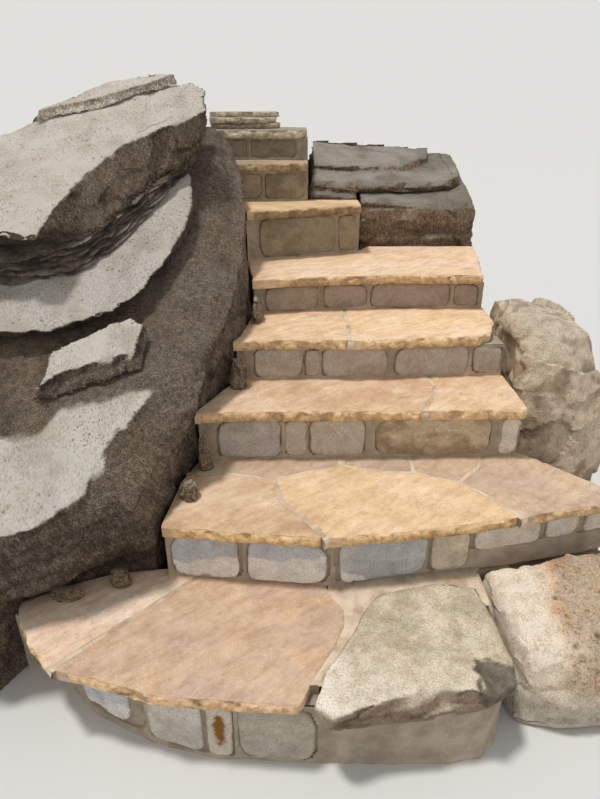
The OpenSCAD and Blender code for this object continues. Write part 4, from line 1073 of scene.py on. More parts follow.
def bedded_rock(node, voxel, seed, look, slope=BED_SLOPE):
    """A piece of natural rock, split along the bedding and broken at its sides: its points, faces and
    colours, and how much painted light it holds at each point."""
    verts, faces, n = rock_mesh(node, voxel, look.soft)
    c = 1 / math.hypot(1, slope)
    s = slope * c
    across = verts[:, 2] * c - verts[:, 1] * s
    b = np.stack([verts[:, 0], verts[:, 1] * c + verts[:, 2] * s, across], axis=1) / look.size
    facing = n[:, 2] * c - n[:, 1] * s
    steep = smooth(0.95, 0.45, np.abs(facing))
    flat_top = facing > 0.97
    crest = np.quantile(b[flat_top, 2], 0.9) if np.any(flat_top) else b[:, 2].max()
    below = (crest - b[:, 2]) * look.size
    push, layers, grit = bedded_relief(b, steep, look, seed)
    verts = verts + n * (push * smooth(0.0, 0.03, verts[:, 2]))[:, None]
    n = vertex_normals(verts, faces)
    facing = n[:, 2] * c - n[:, 1] * s
    # up is the share of painted light: faces that look up along the bedding take the pale lit colour, those
    # that look right, away from the light, keep the painted shade of the sides
    up = smooth(LIT_FROM, LIT_FROM + 0.14, facing - LIT_ASIDE * np.clip(n[:, 0], 0, 1) + 0.05 * grit)
    # Only the highest part of each bed's top keeps the painted light; the lower parts of its top stay in
    # painted shade
    if slope == BED_SLOPE:
        up = up * smooth(0.016, 0.007, below + 0.004 * grit)
    # On the base, painted shadow from the beds above covers the top behind the BASE_LIT line
    if node == "outcrop_base":
        far = np.interp(verts[:, 0], BASE_LIT_X, BASE_LIT_Y)
        up = up * smooth(0.015, -0.015, verts[:, 1] - far + 0.02 * grit)
    return keep_in_box(verts), faces, bedded_tint(b, n, up, layers, grit, look, seed), up


def add_outcrop(material):
    """The outcrop's beds, the ledge of rock behind the fifth tread and the chinking stones."""

    def add(node, name, *how):
        """Adds the piece of rock that stands for a node."""
        piece(name, *bedded_rock(node, *how), material, "outcrop_rock", (node,), ROCK_CREASE)

    cap = RockLook(0.006, 0.004, 0.006, side=srgb(250, 240, 222), dark=srgb(176, 164, 148))
    # For each bed: the size of its mesh, and its swell, layers and broken faces
    looks = {
        "outcrop_base": (0.0108, RockLook(0.014, 0.003, 0.016)),
        "outcrop_lower_ledge": (0.009, RockLook(0.008, 0.006, 0.006)),
        # Its top is painted darker: painted shade from the beds above
        "outcrop_middle_bed": (0.0105, RockLook(0.010, 0.012, 0.008, ROCK_LIT_TOP * 0.84)),
        "outcrop_upper_bed": (0.010, RockLook(0.010, 0.005, 0.018)),
        "outcrop_cap": (0.008, cap),
    }
    for n, (node, (voxel, look)) in enumerate(looks.items()):
        add(node, node + "_rock", voxel, 300 + 20 * n, look)
    thin_layers("outcrop_thin_beds", material)
    # The bench and ledge: a lit top and shaded sides, painted light and shade
    warm = RockLook(0.012, 0.008, 0.010, srgb(156, 148, 136), srgb(150, 130, 108), srgb(88, 77, 66))
    for n, node in enumerate(("rock_bench", "rock_ledge")):
        add(node, node + "_rock", 0.010, 500 + 20 * n, warm, LEDGE_SLOPE)
    # The chinking: lit top, shaded side and dark colours, painted light and shade
    colours = (srgb(196, 178, 156), srgb(176, 156, 134), srgb(112, 98, 84))
    wedged = RockLook(0.003, 0.001, 0.009, *colours, soft=3, size=0.45)
    add("chinking_stones", "chinking_rock", 0.004, 560, wedged, LEDGE_SLOPE)


def outline_at(node, h):
    """Outline of a node where the bedding plane h above the origin cuts it, anticlockwise from above."""
    points, tris = surface(node)
    level = points[:, 2] - BED_SLOPE * points[:, 1] - h
    start = {}
    for corners in tris:
        ends = []
        for i, j in edges_of(*corners):
            if (level[i] > 0) != (level[j] > 0):
                share = level[i] / (level[i] - level[j])
                ends.append(tuple(np.round(points[i] + share * (points[j] - points[i]), 5)[:2]))
        if len(ends) == 2 and ends[0] != ends[1]:
            start.setdefault(ends[0], []).append(ends[1])
            start.setdefault(ends[1], []).append(ends[0])
    here = min(start)
    loop = [here]
    before = None
    while len(loop) <= LONGEST_OUTLINE:
        onward = [p for p in start[here] if p != before]
        if not onward or onward[0] == loop[0]:
            break
        before, here = here, onward[0]
        loop.append(here)
    loop = np.array(loop)
    area = np.sum(loop[:, 0] * np.roll(loop[:, 1], -1) - loop[:, 1] * np.roll(loop[:, 0], -1))
    return loop if area > 0 else loop[::-1]


# The crumbled beds: how many layers, how deep they are bitten, and shares of a layer's thickness with how
# far its side stands in there
LAYERS = 8
LAYER_BITE = 16 * MM
LAYER_SIDE = ((0.75, -1.5 * MM), (0.35, 0.0), (0.0, 4 * MM))
LONGEST_OUTLINE = 4000


def thin_layer(node, m, h0, h1):
    """One thin broken layer between two bedding planes: its points, faces and colours, and how much painted
    light it holds.
    """
    ring = outline_at(node, (h0 + h1) / 2)
    points, _ = resample(ring, [True] * len(ring), 12 * MM, 12 * MM)
    points = relax(points, np.ones(len(points)), 2)
    n2 = outward(points)
    bite = fractal(np.c_[points, np.full(len(points), 0.37 * m)], 0.12, 410 + m, 4)
    bite = np.clip(0.6 * bite + 0.6 * (np.floor(bite * 2.5) / 2.5), -1.6, 0.35)
    out = 4 * MM + LAYER_BITE * bite * (1 if m % 2 else 1.5)
    points = points + n2 * out[:, None]
    cap, origin, faces = fill(points, None, 60 * MM, 420 + m)
    rim_of = {o: i for i, o in enumerate(origin) if 0 <= o < len(points)}
    thick = (h1 - h0) * 0.96
    top = np.c_[cap, cap[:, 1] * BED_SLOPE + h0 + thick]
    top[:, 2] += np.minimum(1.5 * MM * fractal(top, 0.03, 430 + m, 2), 0)
    rings = [top]
    last = [rim_of[i] for i in range(len(points))]
    total = len(cap)
    for share, inward in LAYER_SIDE:
        p = points - n2 * inward
        rings.append(np.c_[p, p[:, 1] * BED_SLOPE + h0 + thick * share])
        now = list(range(total, total + len(p)))
        total += len(p)
        faces += band(last, now)
        last = now
    v = np.concatenate(rings)
    # Tops hold a share of painted light, the dark sides painted shade
    up = np.r_[np.ones(len(cap)) * 0.35, np.zeros(len(v) - len(cap))]
    tint = paint(v, ROCK_DARK, (ROCK_SHADED_SIDE, patches(v, -0.5, 0.6, 0.05, 440 + m)),
                 (ROCK_LIT_TOP_GREY, up * patches(v, -0.3, 0.5, 0.15, 450 + m, 2)))
    return keep_in_box(v), faces, limit(tint), up


def thin_layers(node, material):
    """The crumbled beds: a stack of thin broken layers."""
    points, _ = surface(node)
    heights = points[:, 2] - BED_SLOPE * points[:, 1]
    low, high = heights.min(), heights.max()
    heap = Heap()
    for m in range(LAYERS):
        h0 = low + (high - low) * m / LAYERS
        h1 = low + (high - low) * (m + 1) / LAYERS
        heap.add(*thin_layer(node, m, h0, h1))
    heap.make(node + "_rock", material, "outcrop_rock", (node,), ROCK_CREASE)


def boulder_piece(node, verts, faces, tint, rough, material):
    """The piece that stands for a boulder."""
    rough = np.clip(rough, 0, 1)
    piece(node + "_rock", verts, faces, limit(tint), rough, material, "boulder_rock", (node,), ROCK_CREASE)


def in_box(verts):
    """Places as shares of their own box."""
    lo, hi = verts.min(axis=0), verts.max(axis=0)
    return (verts - lo) / (hi - lo)


def add_boulder_slab(material):
    """The olive slab that ends the first tread: stained cream on the left, freshly broken in front and darker
    there, partly as painted shade, and with a dark facet struck from its right front corner."""
    verts, faces, n = rock_mesh("boulder_slab", voxel=0.0065, softened=2)
    u = in_box(verts)
    right_front = (verts[:, 0].max(), verts[:, 1].min())
    front = smooth(0.30, 0.7, -n[:, 1] - 0.4 * n[:, 0]) * smooth(0.75, 0.3, n[:, 2])
    side = smooth(0.8, 0.4, n[:, 2])
    layer = grain(verts, (0.12, 0.12, 0.014), 601)
    broken = facets(verts, (0.07, 0.07, 0.035), 603)
    soft = fractal(verts, 0.1, 605)
    small = fractal(verts, 0.02, 607)
    push = side * (0.003 * layer + 0.007 * broken + 0.002) + 0.0025 * soft + 0.0012 * small
    verts = verts + n * (push + 0.0015 * (1 - front))[:, None]
    aside = np.abs(verts[:, 0] - right_front[0] + 0.045)
    spot = np.maximum(aside, np.abs(verts[:, 1] - right_front[1] - 0.095) * 0.8)
    spot = spot + 0.018 * soft + 0.016 * broken + 0.004 * small
    verts[:, 2] -= 0.024 * smooth(0.068, 0.01, spot) * smooth(0.0, 0.5, n[:, 2])
    stain = smooth(0.30, 0.06, u[:, 0] + 0.14 * fractal(verts, 0.08, 615) + 0.10 * u[:, 1])
    pale = smooth(0.26, 0.05, u[:, 1] - 0.08 * soft - 0.1 * u[:, 0]) * 0.55 * smooth(0.95, 0.6, u[:, 0])
    # The broken sides are browner and darker: partly the fresh break's own colour and partly painted shade
    fresh = paint(verts, srgb(166, 142, 122), (srgb(108, 90, 76), smooth(-0.4, 0.5, layer + soft * 0.5)))
    struck = srgb(122, 116, 100) * (1 + 0.35 * small)[:, None]
    tint = paint(
        verts, srgb(230, 214, 188), (srgb(204, 189, 162), patches(verts, -0.25, 0.5, 0.06, 611, 4)),
        (srgb(216, 206, 184), patches(verts, 0.1, 0.6, 0.022, 613) * 0.55),
        (srgb(190, 178, 150), patches(verts, 0.25, 0.7, 0.05, 614, 4) * 0.5),
        (srgb(250, 238, 220), np.maximum(stain, pale) * smooth(-0.2, 0.4, n[:, 2])),
        (fresh, side * smooth(0.02, 0.15, u[:, 0] + 0.05 * soft)),
        (struck, smooth(0.064, 0.058, spot) * 0.95))
    boulder_piece("boulder_slab", verts, faces, tint, 0.35 + 0.4 * front, material)


def add_porous_boulder(material):
    """The peach boulder with a pitted crust, paler on its left flank: partly its own crust-free face and
    partly painted light from the left.
    """
    verts, faces, n = rock_mesh("porous_boulder", voxel=0.008, softened=30)
    u = in_box(verts)
    lumps = fractal(verts, 0.16, 621, 4)
    near, own = cells(verts, 0.045, 623)
    pits = smooth(0.36, 0.12, near) * (own > 0.5)
    crust = smooth(0.16, 0.36, u[:, 0] + 0.12 * lumps) * smooth(0.3, 0.6, u[:, 2])
    broken = facets(verts, (0.14, 0.14, 0.09), 629)
    knobs = fractal(verts, 0.045, 626)
    push = 0.012 * lumps + 0.010 * broken + (0.004 + 0.005 * crust) * knobs - 0.011 * pits * crust - 0.002
    verts = verts + n * (push * smooth(0.0, 0.02, verts[:, 2]))[:, None]
    tint = paint(
        verts, srgb(246, 220, 188), (srgb(226, 188, 148), patches(verts, -0.1, 0.7, 0.09, 627, 4)),
        (srgb(244, 228, 204), patches(verts, 0.1, 0.6, 0.035, 628) * 0.6),
        # Paler where there is no crust, on the left flank: its own face and painted light from the left
        (srgb(248, 232, 210), 1 - crust), (srgb(124, 98, 70), pits * crust * 0.85))
    tint = blend(tint * 1.22, srgb(206, 196, 182), smooth(0.55, 0.3, u[:, 2]) * 0.8)
    boulder_piece("porous_boulder", keep_in_box(verts), faces, tint, 0.5 + 0.5 * crust, material)


def add_side_boulder(material):
    """The cream boulder beside the fourth step: smooth faces, a few knobs and brown patches, with painted
    light where it faces up and painted shade where it faces down.
    """
    verts, faces, n = rock_mesh("side_boulder", voxel=0.011, softened=2)
    lumps = fractal(verts, (0.24, 0.24, 0.18), 641, 4)
    knobs = fractal(verts, 0.05, 643)
    broken = facets(verts + 0.02 * lumps[:, None], (0.24, 0.24, 0.19), 645)
    chips = facets(verts + 0.01 * lumps[:, None], 0.07, 646)
    push = 0.010 * lumps + 0.019 * broken + 0.006 * chips + 0.003 * knobs - 0.012
    verts = verts + n * (push * smooth(0.0, 0.02, verts[:, 2]))[:, None]
    n = vertex_normals(verts, faces)
    # Paler where faces look up, painted light, and darker where they look down, painted shade
    tint = paint(
        verts, srgb(232, 213, 186), (srgb(188, 164, 136), patches(verts, -0.1, 0.55, 0.06, 647, 4)),
        (srgb(228, 216, 194), smooth(0.35, 0.8, n[:, 2]) * 0.6),
        (srgb(132, 112, 92), patches(verts, 0.2, 0.7, 0.09, 649, 4) * 0.55),
        (srgb(96, 82, 68), smooth(0.3, -0.5, n[:, 2] + 0.3) * 0.5))
    boulder_piece("side_boulder", keep_in_box(verts), faces, tint, 0.8, material)


# Rubble on the hidden sides: the gap between its stones, their depth, and how far they stand out of the wall
RUBBLE_GAP = 12 * MM
RUBBLE_DEPTH = 26 * MM
RUBBLE_LIFT = -0.5 * MM
RUBBLE_EDGE = ((1.5 * MM, 3.5 * MM), (4.5 * MM, 5.5 * MM), (9 * MM, 6 * MM), (RUBBLE_DEPTH, 6 * MM))
COURSE_HEIGHT = 0.115
# Lower bands and shorter runs of a wall get no stones, and a shorter leftover joins the last stone
LOWEST_BAND, SHORTEST_RUN, LEFTOVER = 30 * MM, 40 * MM, 70 * MM
# Places along a wall where its face is looked for
WALL_SPOTS = 241
STONE_WIDTHS = (0.13, 0.30)
# How far the mortar is drawn back behind the stones
MORTAR_BACK = 9 * MM
WALL_SIDES = {
    "right_side_wall": lambda normal: normal[0] > 0.5,
    "left_side_wall": lambda normal: normal[0] < -0.5,
    "back_wall": lambda normal: abs(normal[0]) > 0.9 or normal[1] > 0.5,
}


def wall_faces(node, exposed):
    """Upright faces of a node that look outwards, each as a place on it, its normal and its triangles."""
    points, tris = surface(node)
    tris = np.array(tris)
    a, b, c = (points[tris[:, n]] for n in range(3))
    normals = np.cross(b - a, c - a)
    normals = normals / np.maximum(np.linalg.norm(normals, axis=1), 1e-12)[:, None]
    upright = np.abs(normals[:, 2]) < 0.01
    used = np.zeros(len(tris), bool)
    for n in range(len(tris)):
        if used[n] or not upright[n]:
            continue
        same = upright & (normals @ normals[n] > 0.9995) & (np.abs((a - a[n]) @ normals[n]) < 1 * MM)
        used |= same
        if exposed(normals[n]):
            yield a[n], normals[n], points[tris[same]]


def in_triangles(p, flat):
    """True if the 2-D place lies in one of the triangles."""
    a, b, c = flat[:, 0], flat[:, 1], flat[:, 2]

    def turn(u, v):
        return (v[:, 0] - u[:, 0]) * (p[1] - u[:, 1]) - (v[:, 1] - u[:, 1]) * (p[0] - u[:, 0])

    s, t, w = turn(a, b), turn(b, c), turn(c, a)
    return bool(np.any(((s >= 0) & (t >= 0) & (w >= 0)) | ((s <= 0) & (t <= 0) & (w <= 0))))


def runs_along(spots, z, flat):
    """The stretches of a level line that lie on the wall's face."""
    runs = []
    start = None
    last = None
    for s in (*spots, None):
        hit = s is not None and in_triangles((s, z), flat)
        if hit and start is None:
            start = s
        if not hit and start is not None:
            runs.append((start, last))
            start = None
        last = s
    return runs


def rubble(heap, origin, out, triangles, seed):
    """Courses of rubble over one flat face of a wall."""
    right = np.cross(UP, out)
    foot = origin * np.array((1, 1, 0))
    flat = np.stack([(triangles - origin) @ right, triangles[:, :, 2]], axis=2)
    levels = np.unique(np.round(flat[:, :, 1], 3))
    spots = np.linspace(flat[:, :, 0].min(), flat[:, :, 0].max(), WALL_SPOTS)
    rand = np.random.default_rng(seed)
    for z0, z1 in zip(levels[:-1], levels[1:]):
        if z1 - z0 < LOWEST_BAND:
            continue
        rows = max(1, int(round((z1 - z0) / COURSE_HEIGHT)))
        high = (z1 - z0) / rows
        runs = [(s0, s1) for s0, s1 in runs_along(spots, (z0 + z1) / 2, flat) if s1 - s0 >= SHORTEST_RUN]
        for (s0, s1), row in itertools.product(runs, range(rows)):
            z = z0 + (z1 - z0) * row / rows + high / 2
            x = s0
            while x < s1 - 20 * MM:
                w = min(rand.uniform(*STONE_WIDTHS), s1 - x)
                if s1 - x - w < LEFTOVER:
                    w = s1 - x
                centre = foot + right * (x + w / 2) + UP * z
                size = (w - RUBBLE_GAP, high - RUBBLE_GAP)
                add_rubble_stone(heap, centre, out, right, size, int(rand.integers(1 << 20)))
                x += w


def rubble_ring(w, h, rand):
    """Outline of a rubble stone: a rectangle with blunt, shifted corners."""
    ring = []
    r = 0.22 * min(w, h)
    for sx, sy, turned in ((-1, -1, 180), (1, -1, 270), (1, 1, 0), (-1, 1, 90)):
        cx = sx * (w / 2 - r) + rand.uniform(-0.04, 0.02) * w * sx
        cy = sy * (h / 2 - r) + rand.uniform(-0.05, 0.02) * h * sy
        for m in range(3):
            angle = math.radians(turned + 45 * m)
            ring.append((cx + r * math.cos(angle), cy + r * math.sin(angle)))
    return np.array(ring)


def add_rubble_stone(heap, centre, out, right, size, seed):
    """One stone of a rubble wall, with its relief and colour."""
    rand = np.random.default_rng(seed)
    ring = rubble_ring(*size, rand)

    def place(plane, deep):
        forward = RUBBLE_LIFT - np.asarray(deep)[:, None]
        return centre + plane[:, :1] * right + plane[:, 1:2] * UP + forward * out

    edge = [(deep, reach, reach) for deep, reach in RUBBLE_EDGE]
    stone = dress(ring, [False] * len(ring), place, edge, fine=16 * MM, coarse=16 * MM, spacing=20 * MM,
                  seed=seed % 997, round_off=2)
    v = stone.verts
    relief = np.clip(fractal(v, 0.05, seed % 991) * 2.5 * MM - 2.2 * MM, -7 * MM, 0)
    v = v + np.where(stone.depth < 6 * MM, relief, 0)[:, None] * out
    pick = rand.random()
    body = blend(srgb(*WARM_GREY), srgb(*PALE_GREY), pick) * rand.uniform(0.86, 1.08)
    if rand.random() < 0.25:
        body = srgb(*OCHRE_GREY) * rand.uniform(0.9, 1.1)
    tint = body * (1 + 0.10 * fractal(v, 0.04, seed % 983))[:, None]
    heap.add(v, stone.faces, limit(tint), 0.5)


def set_back(node, chosen):
    """The body of a wall with its outward faces drawn back, so that its stones keep inside the CAD box."""
    points, tris = surface(node)
    for origin, out, _ in chosen:
        points[np.abs((points - origin) @ out) < 1 * MM] -= MORTAR_BACK * out
    return points, tris


def add_walls(stone_material, mortar_material):
    """Rubble facings on the right, the left and the rear, bedded in mortar."""
    for s, (node, exposed) in enumerate(WALL_SIDES.items()):
        chosen = list(wall_faces(node, exposed))
        verts, tris = set_back(node, chosen)
        tint = all_over(MORTAR_SHADE, verts)
        piece(node + "_mortar", verts, tris, tint, 0.5, mortar_material, "mortar", (node,))
        heap = Heap()
        for n, (origin, out, triangles) in enumerate(chosen):
            rubble(heap, origin, out, triangles, 40 + 10 * s + n)
        heap.make(node + "_rubble", stone_material, "rubble", (node,), STONE_CREASE)


class Graph:
    """Short ways to add shader nodes."""

    def __init__(self, name):
        self.material = bpy.data.materials.new(name)
        self.material.use_nodes = True
        self.tree = self.material.node_tree
        self.shader = self.tree.nodes["Principled BSDF"]
        self.place = self.add("ShaderNodeTexCoord").outputs["Object"]

    def add(self, kind, **values):
        """A new shader node."""
        node = self.tree.nodes.new(kind)
        for key, value in values.items():
            setattr(node, key, value)
        return node

    def join(self, a, b):
        """Links an output to a socket."""
        self.tree.links.new(a, b)

    def feed(self, socket, value):
        """Sets a number on a socket, or links an output to it."""
        if isinstance(value, (int, float)):
            socket.default_value = value
        else:
            self.join(value, socket)

    def stretch(self, scale, turn=(0, 0, 0)):
        """Places turned first and then scaled along the turned axes."""
        turned = self.add("ShaderNodeMapping")
        turned.inputs["Rotation"].default_value = turn
        self.join(self.place, turned.inputs["Vector"])
        scaled = self.add("ShaderNodeMapping")
        scaled.inputs["Scale"].default_value = scale
        self.join(turned.outputs["Vector"], scaled.inputs["Vector"])
        return scaled.outputs["Vector"]

    def noise(self, scale, detail=4.0, rough=0.6, at=None, out="Fac"):
        """Layered noise at a number of features to the metre."""
        node = self.add("ShaderNodeTexNoise")
        for key, value in (("Scale", scale), ("Detail", detail), ("Roughness", rough)):
            node.inputs[key].default_value = value
        self.join(at or self.place, node.inputs["Vector"])
        return node.outputs[out]

    def cell(self, scale, feature="F1", at=None):
        """Distance to the nearest cell's middle, or to its edge."""
        node = self.add("ShaderNodeTexVoronoi", feature=feature)
        node.inputs["Scale"].default_value = scale
        self.join(at or self.place, node.inputs["Vector"])
        return node.outputs["Distance"]

    def level(self, value, a, b, lo=0.0, hi=1.0):
        """Goes from lo to hi as the value goes from a to b."""
        node = self.add("ShaderNodeMapRange")
        for key, number in (("From Min", a), ("From Max", b), ("To Min", lo), ("To Max", hi)):
            node.inputs[key].default_value = number
        self.join(value, node.inputs["Value"])
        return node.outputs["Result"]

    def maths(self, how, a, b):
        """A sum or product of two values."""
        node = self.add("ShaderNodeMath", operation=how)
        self.feed(node.inputs[0], a)
        self.feed(node.inputs[1], b)
        return node.outputs["Value"]

    def times(self, a, b):
        """The product of two values."""
        return self.maths("MULTIPLY", a, b)

    def total(self, *shares):
        """Sum of values, each given with its share."""
        parts = [self.times(value, share) for value, share in shares]
        whole = parts[0]
        for part in parts[1:]:
            whole = self.maths("ADD", whole, part)
        return whole

    def mix(self, factor, a, b, how="MIX"):
        """From colour a to colour b by the factor, or a multiplied by b up to it."""
        node = self.add("ShaderNodeMix", data_type="RGBA", blend_type=how)
        self.feed(node.inputs["Factor"], factor)
        for key, value in ((6, a), (7, b)):
            if isinstance(value, (tuple, list, np.ndarray)):
                node.inputs[key].default_value = (*[float(x) for x in value[:3]], 1)
            else:
                self.join(value, node.inputs[key])
        return node.outputs[2]

    def over(self, colour, mask, share, by, how="MIX"):
        """Mixes another colour in where the mask says, up to a share."""
        return self.mix(self.times(mask, share), colour, by, how)

    def shade(self, colour, *steps):
        """Multiplies the colour by others: each where its value goes from a to b, and up to its share."""
        for value, a, b, share, by in steps:
            colour = self.mix(self.level(value, a, b, 0, share), colour, by, "MULTIPLY")
        return colour

    def spots(self, scale, a, b, patch, detail, c, d):
        """Small round spots, kept only in patches."""
        return self.times(self.level(self.cell(scale), a, b), self.level(self.noise(patch, detail), c, d))

    def cracks(self, scale, place, width, share):
        """Thin dark lines between large cells, kept only over a share of the rock."""
        warped = self.add("ShaderNodeMix", data_type="VECTOR")
        warped.inputs["Factor"].default_value = 0.09
        self.join(place, warped.inputs[4])
        self.join(self.noise(6.0, 5.0, 0.5, place, "Color"), warped.inputs[5])
        edge = self.cell(scale, "DISTANCE_TO_EDGE", warped.outputs[1])
        kept = self.level(self.noise(1.7, 2), 0.62 - share, 0.66 - share)
        return self.times(self.level(edge, width, width * 0.25), kept)

    def tint(self):
        """The painted colour and, beside it, how broken the surface is; on the outcrop, the share of painted
        light instead.
        """
        node = self.add("ShaderNodeAttribute", attribute_name="tint")
        return node.outputs["Color"], node.outputs["Alpha"]

    def finish(self, colour, height, distance, strength, rough):
        """Joins colour, relief and roughness to the shader, and returns the material."""
        bump = self.add("ShaderNodeBump")
        bump.inputs["Distance"].default_value = distance
        self.feed(bump.inputs["Strength"], strength)
        self.join(height, bump.inputs["Height"])
        self.join(colour, self.shader.inputs["Base Color"])
        self.join(bump.outputs["Normal"], self.shader.inputs["Normal"])
        self.feed(self.shader.inputs["Roughness"], rough)
        self.shader.inputs["Specular IOR Level"].default_value = 0.25
        return self.material


def sandstone():
    """Split sandstone: slanting streaks, clouds and specks, with darker and paler chips on the noses."""
    g = Graph("split_sandstone")
    tint, rough = g.tint()
    streak = g.noise(1.0, 7, 0.68, g.stretch((10, 34, 60), (0, 0, -0.7)))
    cloud = g.noise(11, 6, 0.62)
    mottle = g.noise(52, 7, 0.72)
    speck = g.noise(280, 4, 0.75)
    colour = g.shade(
        tint, (streak, 0.50, 0.60, 0.8, (0.86, 0.81, 0.76)), (streak, 0.47, 0.38, 0.8, (1.10, 1.09, 1.08)),
        (cloud, 0.46, 0.62, 0.5, (0.88, 0.83, 0.78)), (cloud, 0.46, 0.34, 0.6, (1.07, 1.07, 1.07)),
        (mottle, 0.53, 0.62, 0.6, (0.84, 0.79, 0.73)), (mottle, 0.48, 0.38, 0.8, (1.08, 1.08, 1.07)),
        (speck, 0.54, 0.66, 0.9, (1.20, 1.18, 1.14)), (speck, 0.46, 0.34, 0.9, (0.80, 0.76, 0.72)))
    scratch = g.noise(1.0, 3, 0.6, g.stretch((22, 190, 90), (0, 0, -0.6)))
    scratch = g.times(g.level(scratch, 0.62, 0.68), g.level(g.noise(5, 3), 0.50, 0.60))
    colour = g.over(colour, scratch, 0.6, (1.22, 1.20, 1.16), "MULTIPLY")
    fleck = g.spots(90, 0.24, 0.12, 7, 4, 0.50, 0.58)
    colour = g.over(colour, fleck, 0.55, (0.90, 0.84, 0.74))
    hole = g.spots(75, 0.10, 0.04, 9, 2, 0.5, 0.62)
    colour = g.over(colour, hole, 0.5, (0.30, 0.22, 0.14))
    chipped = g.noise(44, 5, 0.62)
    worked = g.level(rough, 0.3, 0.8)
    # Darker where the chipped relief is low and paler where it is high: painted shade and highlight on the
    # worked noses
    dark_edge = g.times(g.level(chipped, 0.50, 0.40), worked)
    colour = g.over(colour, dark_edge, 0.6, (0.56, 0.46, 0.36), "MULTIPLY")
    lit_edge = g.times(g.level(chipped, 0.54, 0.62), worked)
    colour = g.over(colour, lit_edge, 0.7, (1.22, 1.19, 1.13), "MULTIPLY")
    line = g.cracks(6.0, g.place, 0.006, 0.03)
    colour = g.over(colour, line, 0.5, (0.24, 0.17, 0.11))
    height = g.total(
        (g.noise(46, 6, 0.65), 1.0), (speck, 0.18), (streak, 0.3), (g.times(chipped, rough), 1.2))
    relief = g.level(rough, 0.1, 1.0, 0.25, 1.0)
    return g.finish(colour, height, 0.006, relief, g.level(cloud, 0.3, 0.7, 0.82, 0.94))


def riser_rock():
    """Dressed limestone: clouds, bright and dark grains, and small pits where it is smooth."""
    g = Graph("riser_limestone")
    tint, rough = g.tint()
    fine = g.noise(190, 4, 0.7)
    colour = g.shade(
        tint, (g.noise(22, 5, 0.62), 0.40, 0.66, 0.8, (0.80, 0.77, 0.74)),
        (fine, 0.52, 0.64, 0.9, (1.28, 1.26, 1.22)), (fine, 0.46, 0.36, 0.9, (0.74, 0.72, 0.70)))
    pit = g.times(g.spots(120, 0.22, 0.08, 30, 3, 0.48, 0.6), g.level(rough, 0.8, 0.5))
    colour = g.over(colour, pit, 0.5, (0.16, 0.14, 0.12))
    height = g.total((g.noise(60, 6, 0.7), 1.0), (fine, 0.3), (pit, -0.4))
    return g.finish(colour, height, 0.005, g.level(rough, 0.1, 1.0, 0.35, 1.0), 0.9)


def mortar():
    """Trowelled lime mortar with sand in it."""
    g = Graph("lime_mortar")
    tint, _ = g.tint()
    sand = g.noise(420, 3, 0.8)
    colour = g.shade(
        tint, (g.noise(18, 4, 0.6), 0.42, 0.60, 0.9, (0.80, 0.77, 0.74)),
        (sand, 0.35, 0.7, 0.9, (1.14, 1.12, 1.08)))
    speck = g.spots(130, 0.20, 0.12, 50, 2, 0.52, 0.58)
    colour = g.over(colour, speck, 0.8, (0.16, 0.13, 0.10))
    return g.finish(colour, g.total((g.noise(40, 7, 0.7), 1.0), (sand, 0.35)), 0.006, 0.9, 0.93)


def plain_mortar():
    """Mortar for the CAD's own solids, which carry no painted colours."""
    g = Graph("core_mortar")
    sand = g.noise(300, 3, 0.8)
    clouds = g.level(g.noise(7, 5, 0.6), 0.35, 0.7)
    colour = g.shade(
        g.mix(clouds, MORTAR_SHADE * 0.86, MORTAR_SHADE * 1.12), (sand, 0.35, 0.7, 0.9, (1.14, 1.12, 1.08)),
        (g.noise(28, 5, 0.7), 0.46, 0.60, 0.8, (0.76, 0.73, 0.70)))
    pit = g.spots(120, 0.22, 0.12, 40, 2, 0.50, 0.58)
    colour = g.over(colour, pit, 0.8, (0.12, 0.10, 0.08))
    return g.finish(colour, g.total((g.noise(30, 7, 0.7), 1.0), (sand, 0.35)), 0.010, 1.0, 0.93)


def rock_colour(g, tint, up, flecks, grit, bedding):
    """Flecked colour: pale with dark flecks where the rock is marked as lit, as painted light, and dark with
    pale grit elsewhere, as painted shade.
    """
    patchy = g.level(g.noise(7, 3), 0.35, 0.65, 0.25, 1.0)
    fleck = g.times(g.level(flecks, 0.52, 0.62), patchy)
    lit = g.mix(fleck, tint, (0.46, 0.42, 0.38), "MULTIPLY")
    lit = g.shade(lit, (flecks, 0.46, 0.36, 1.0, (1.24, 1.23, 1.21)))
    streak = g.noise(1.0, 5, 0.65, g.stretch((60, 60, 7), bedding))
    shaded = g.shade(
        tint, (grit, 0.50, 0.62, 1.0, (2.1, 2.0, 1.9)), (streak, 0.50, 0.62, 0.8, (1.45, 1.40, 1.33)),
        (streak, 0.48, 0.38, 0.8, (0.66, 0.64, 0.62)), (grit, 0.48, 0.38, 1.0, (0.45, 0.43, 0.41)))
    return g.mix(up, shaded, lit)


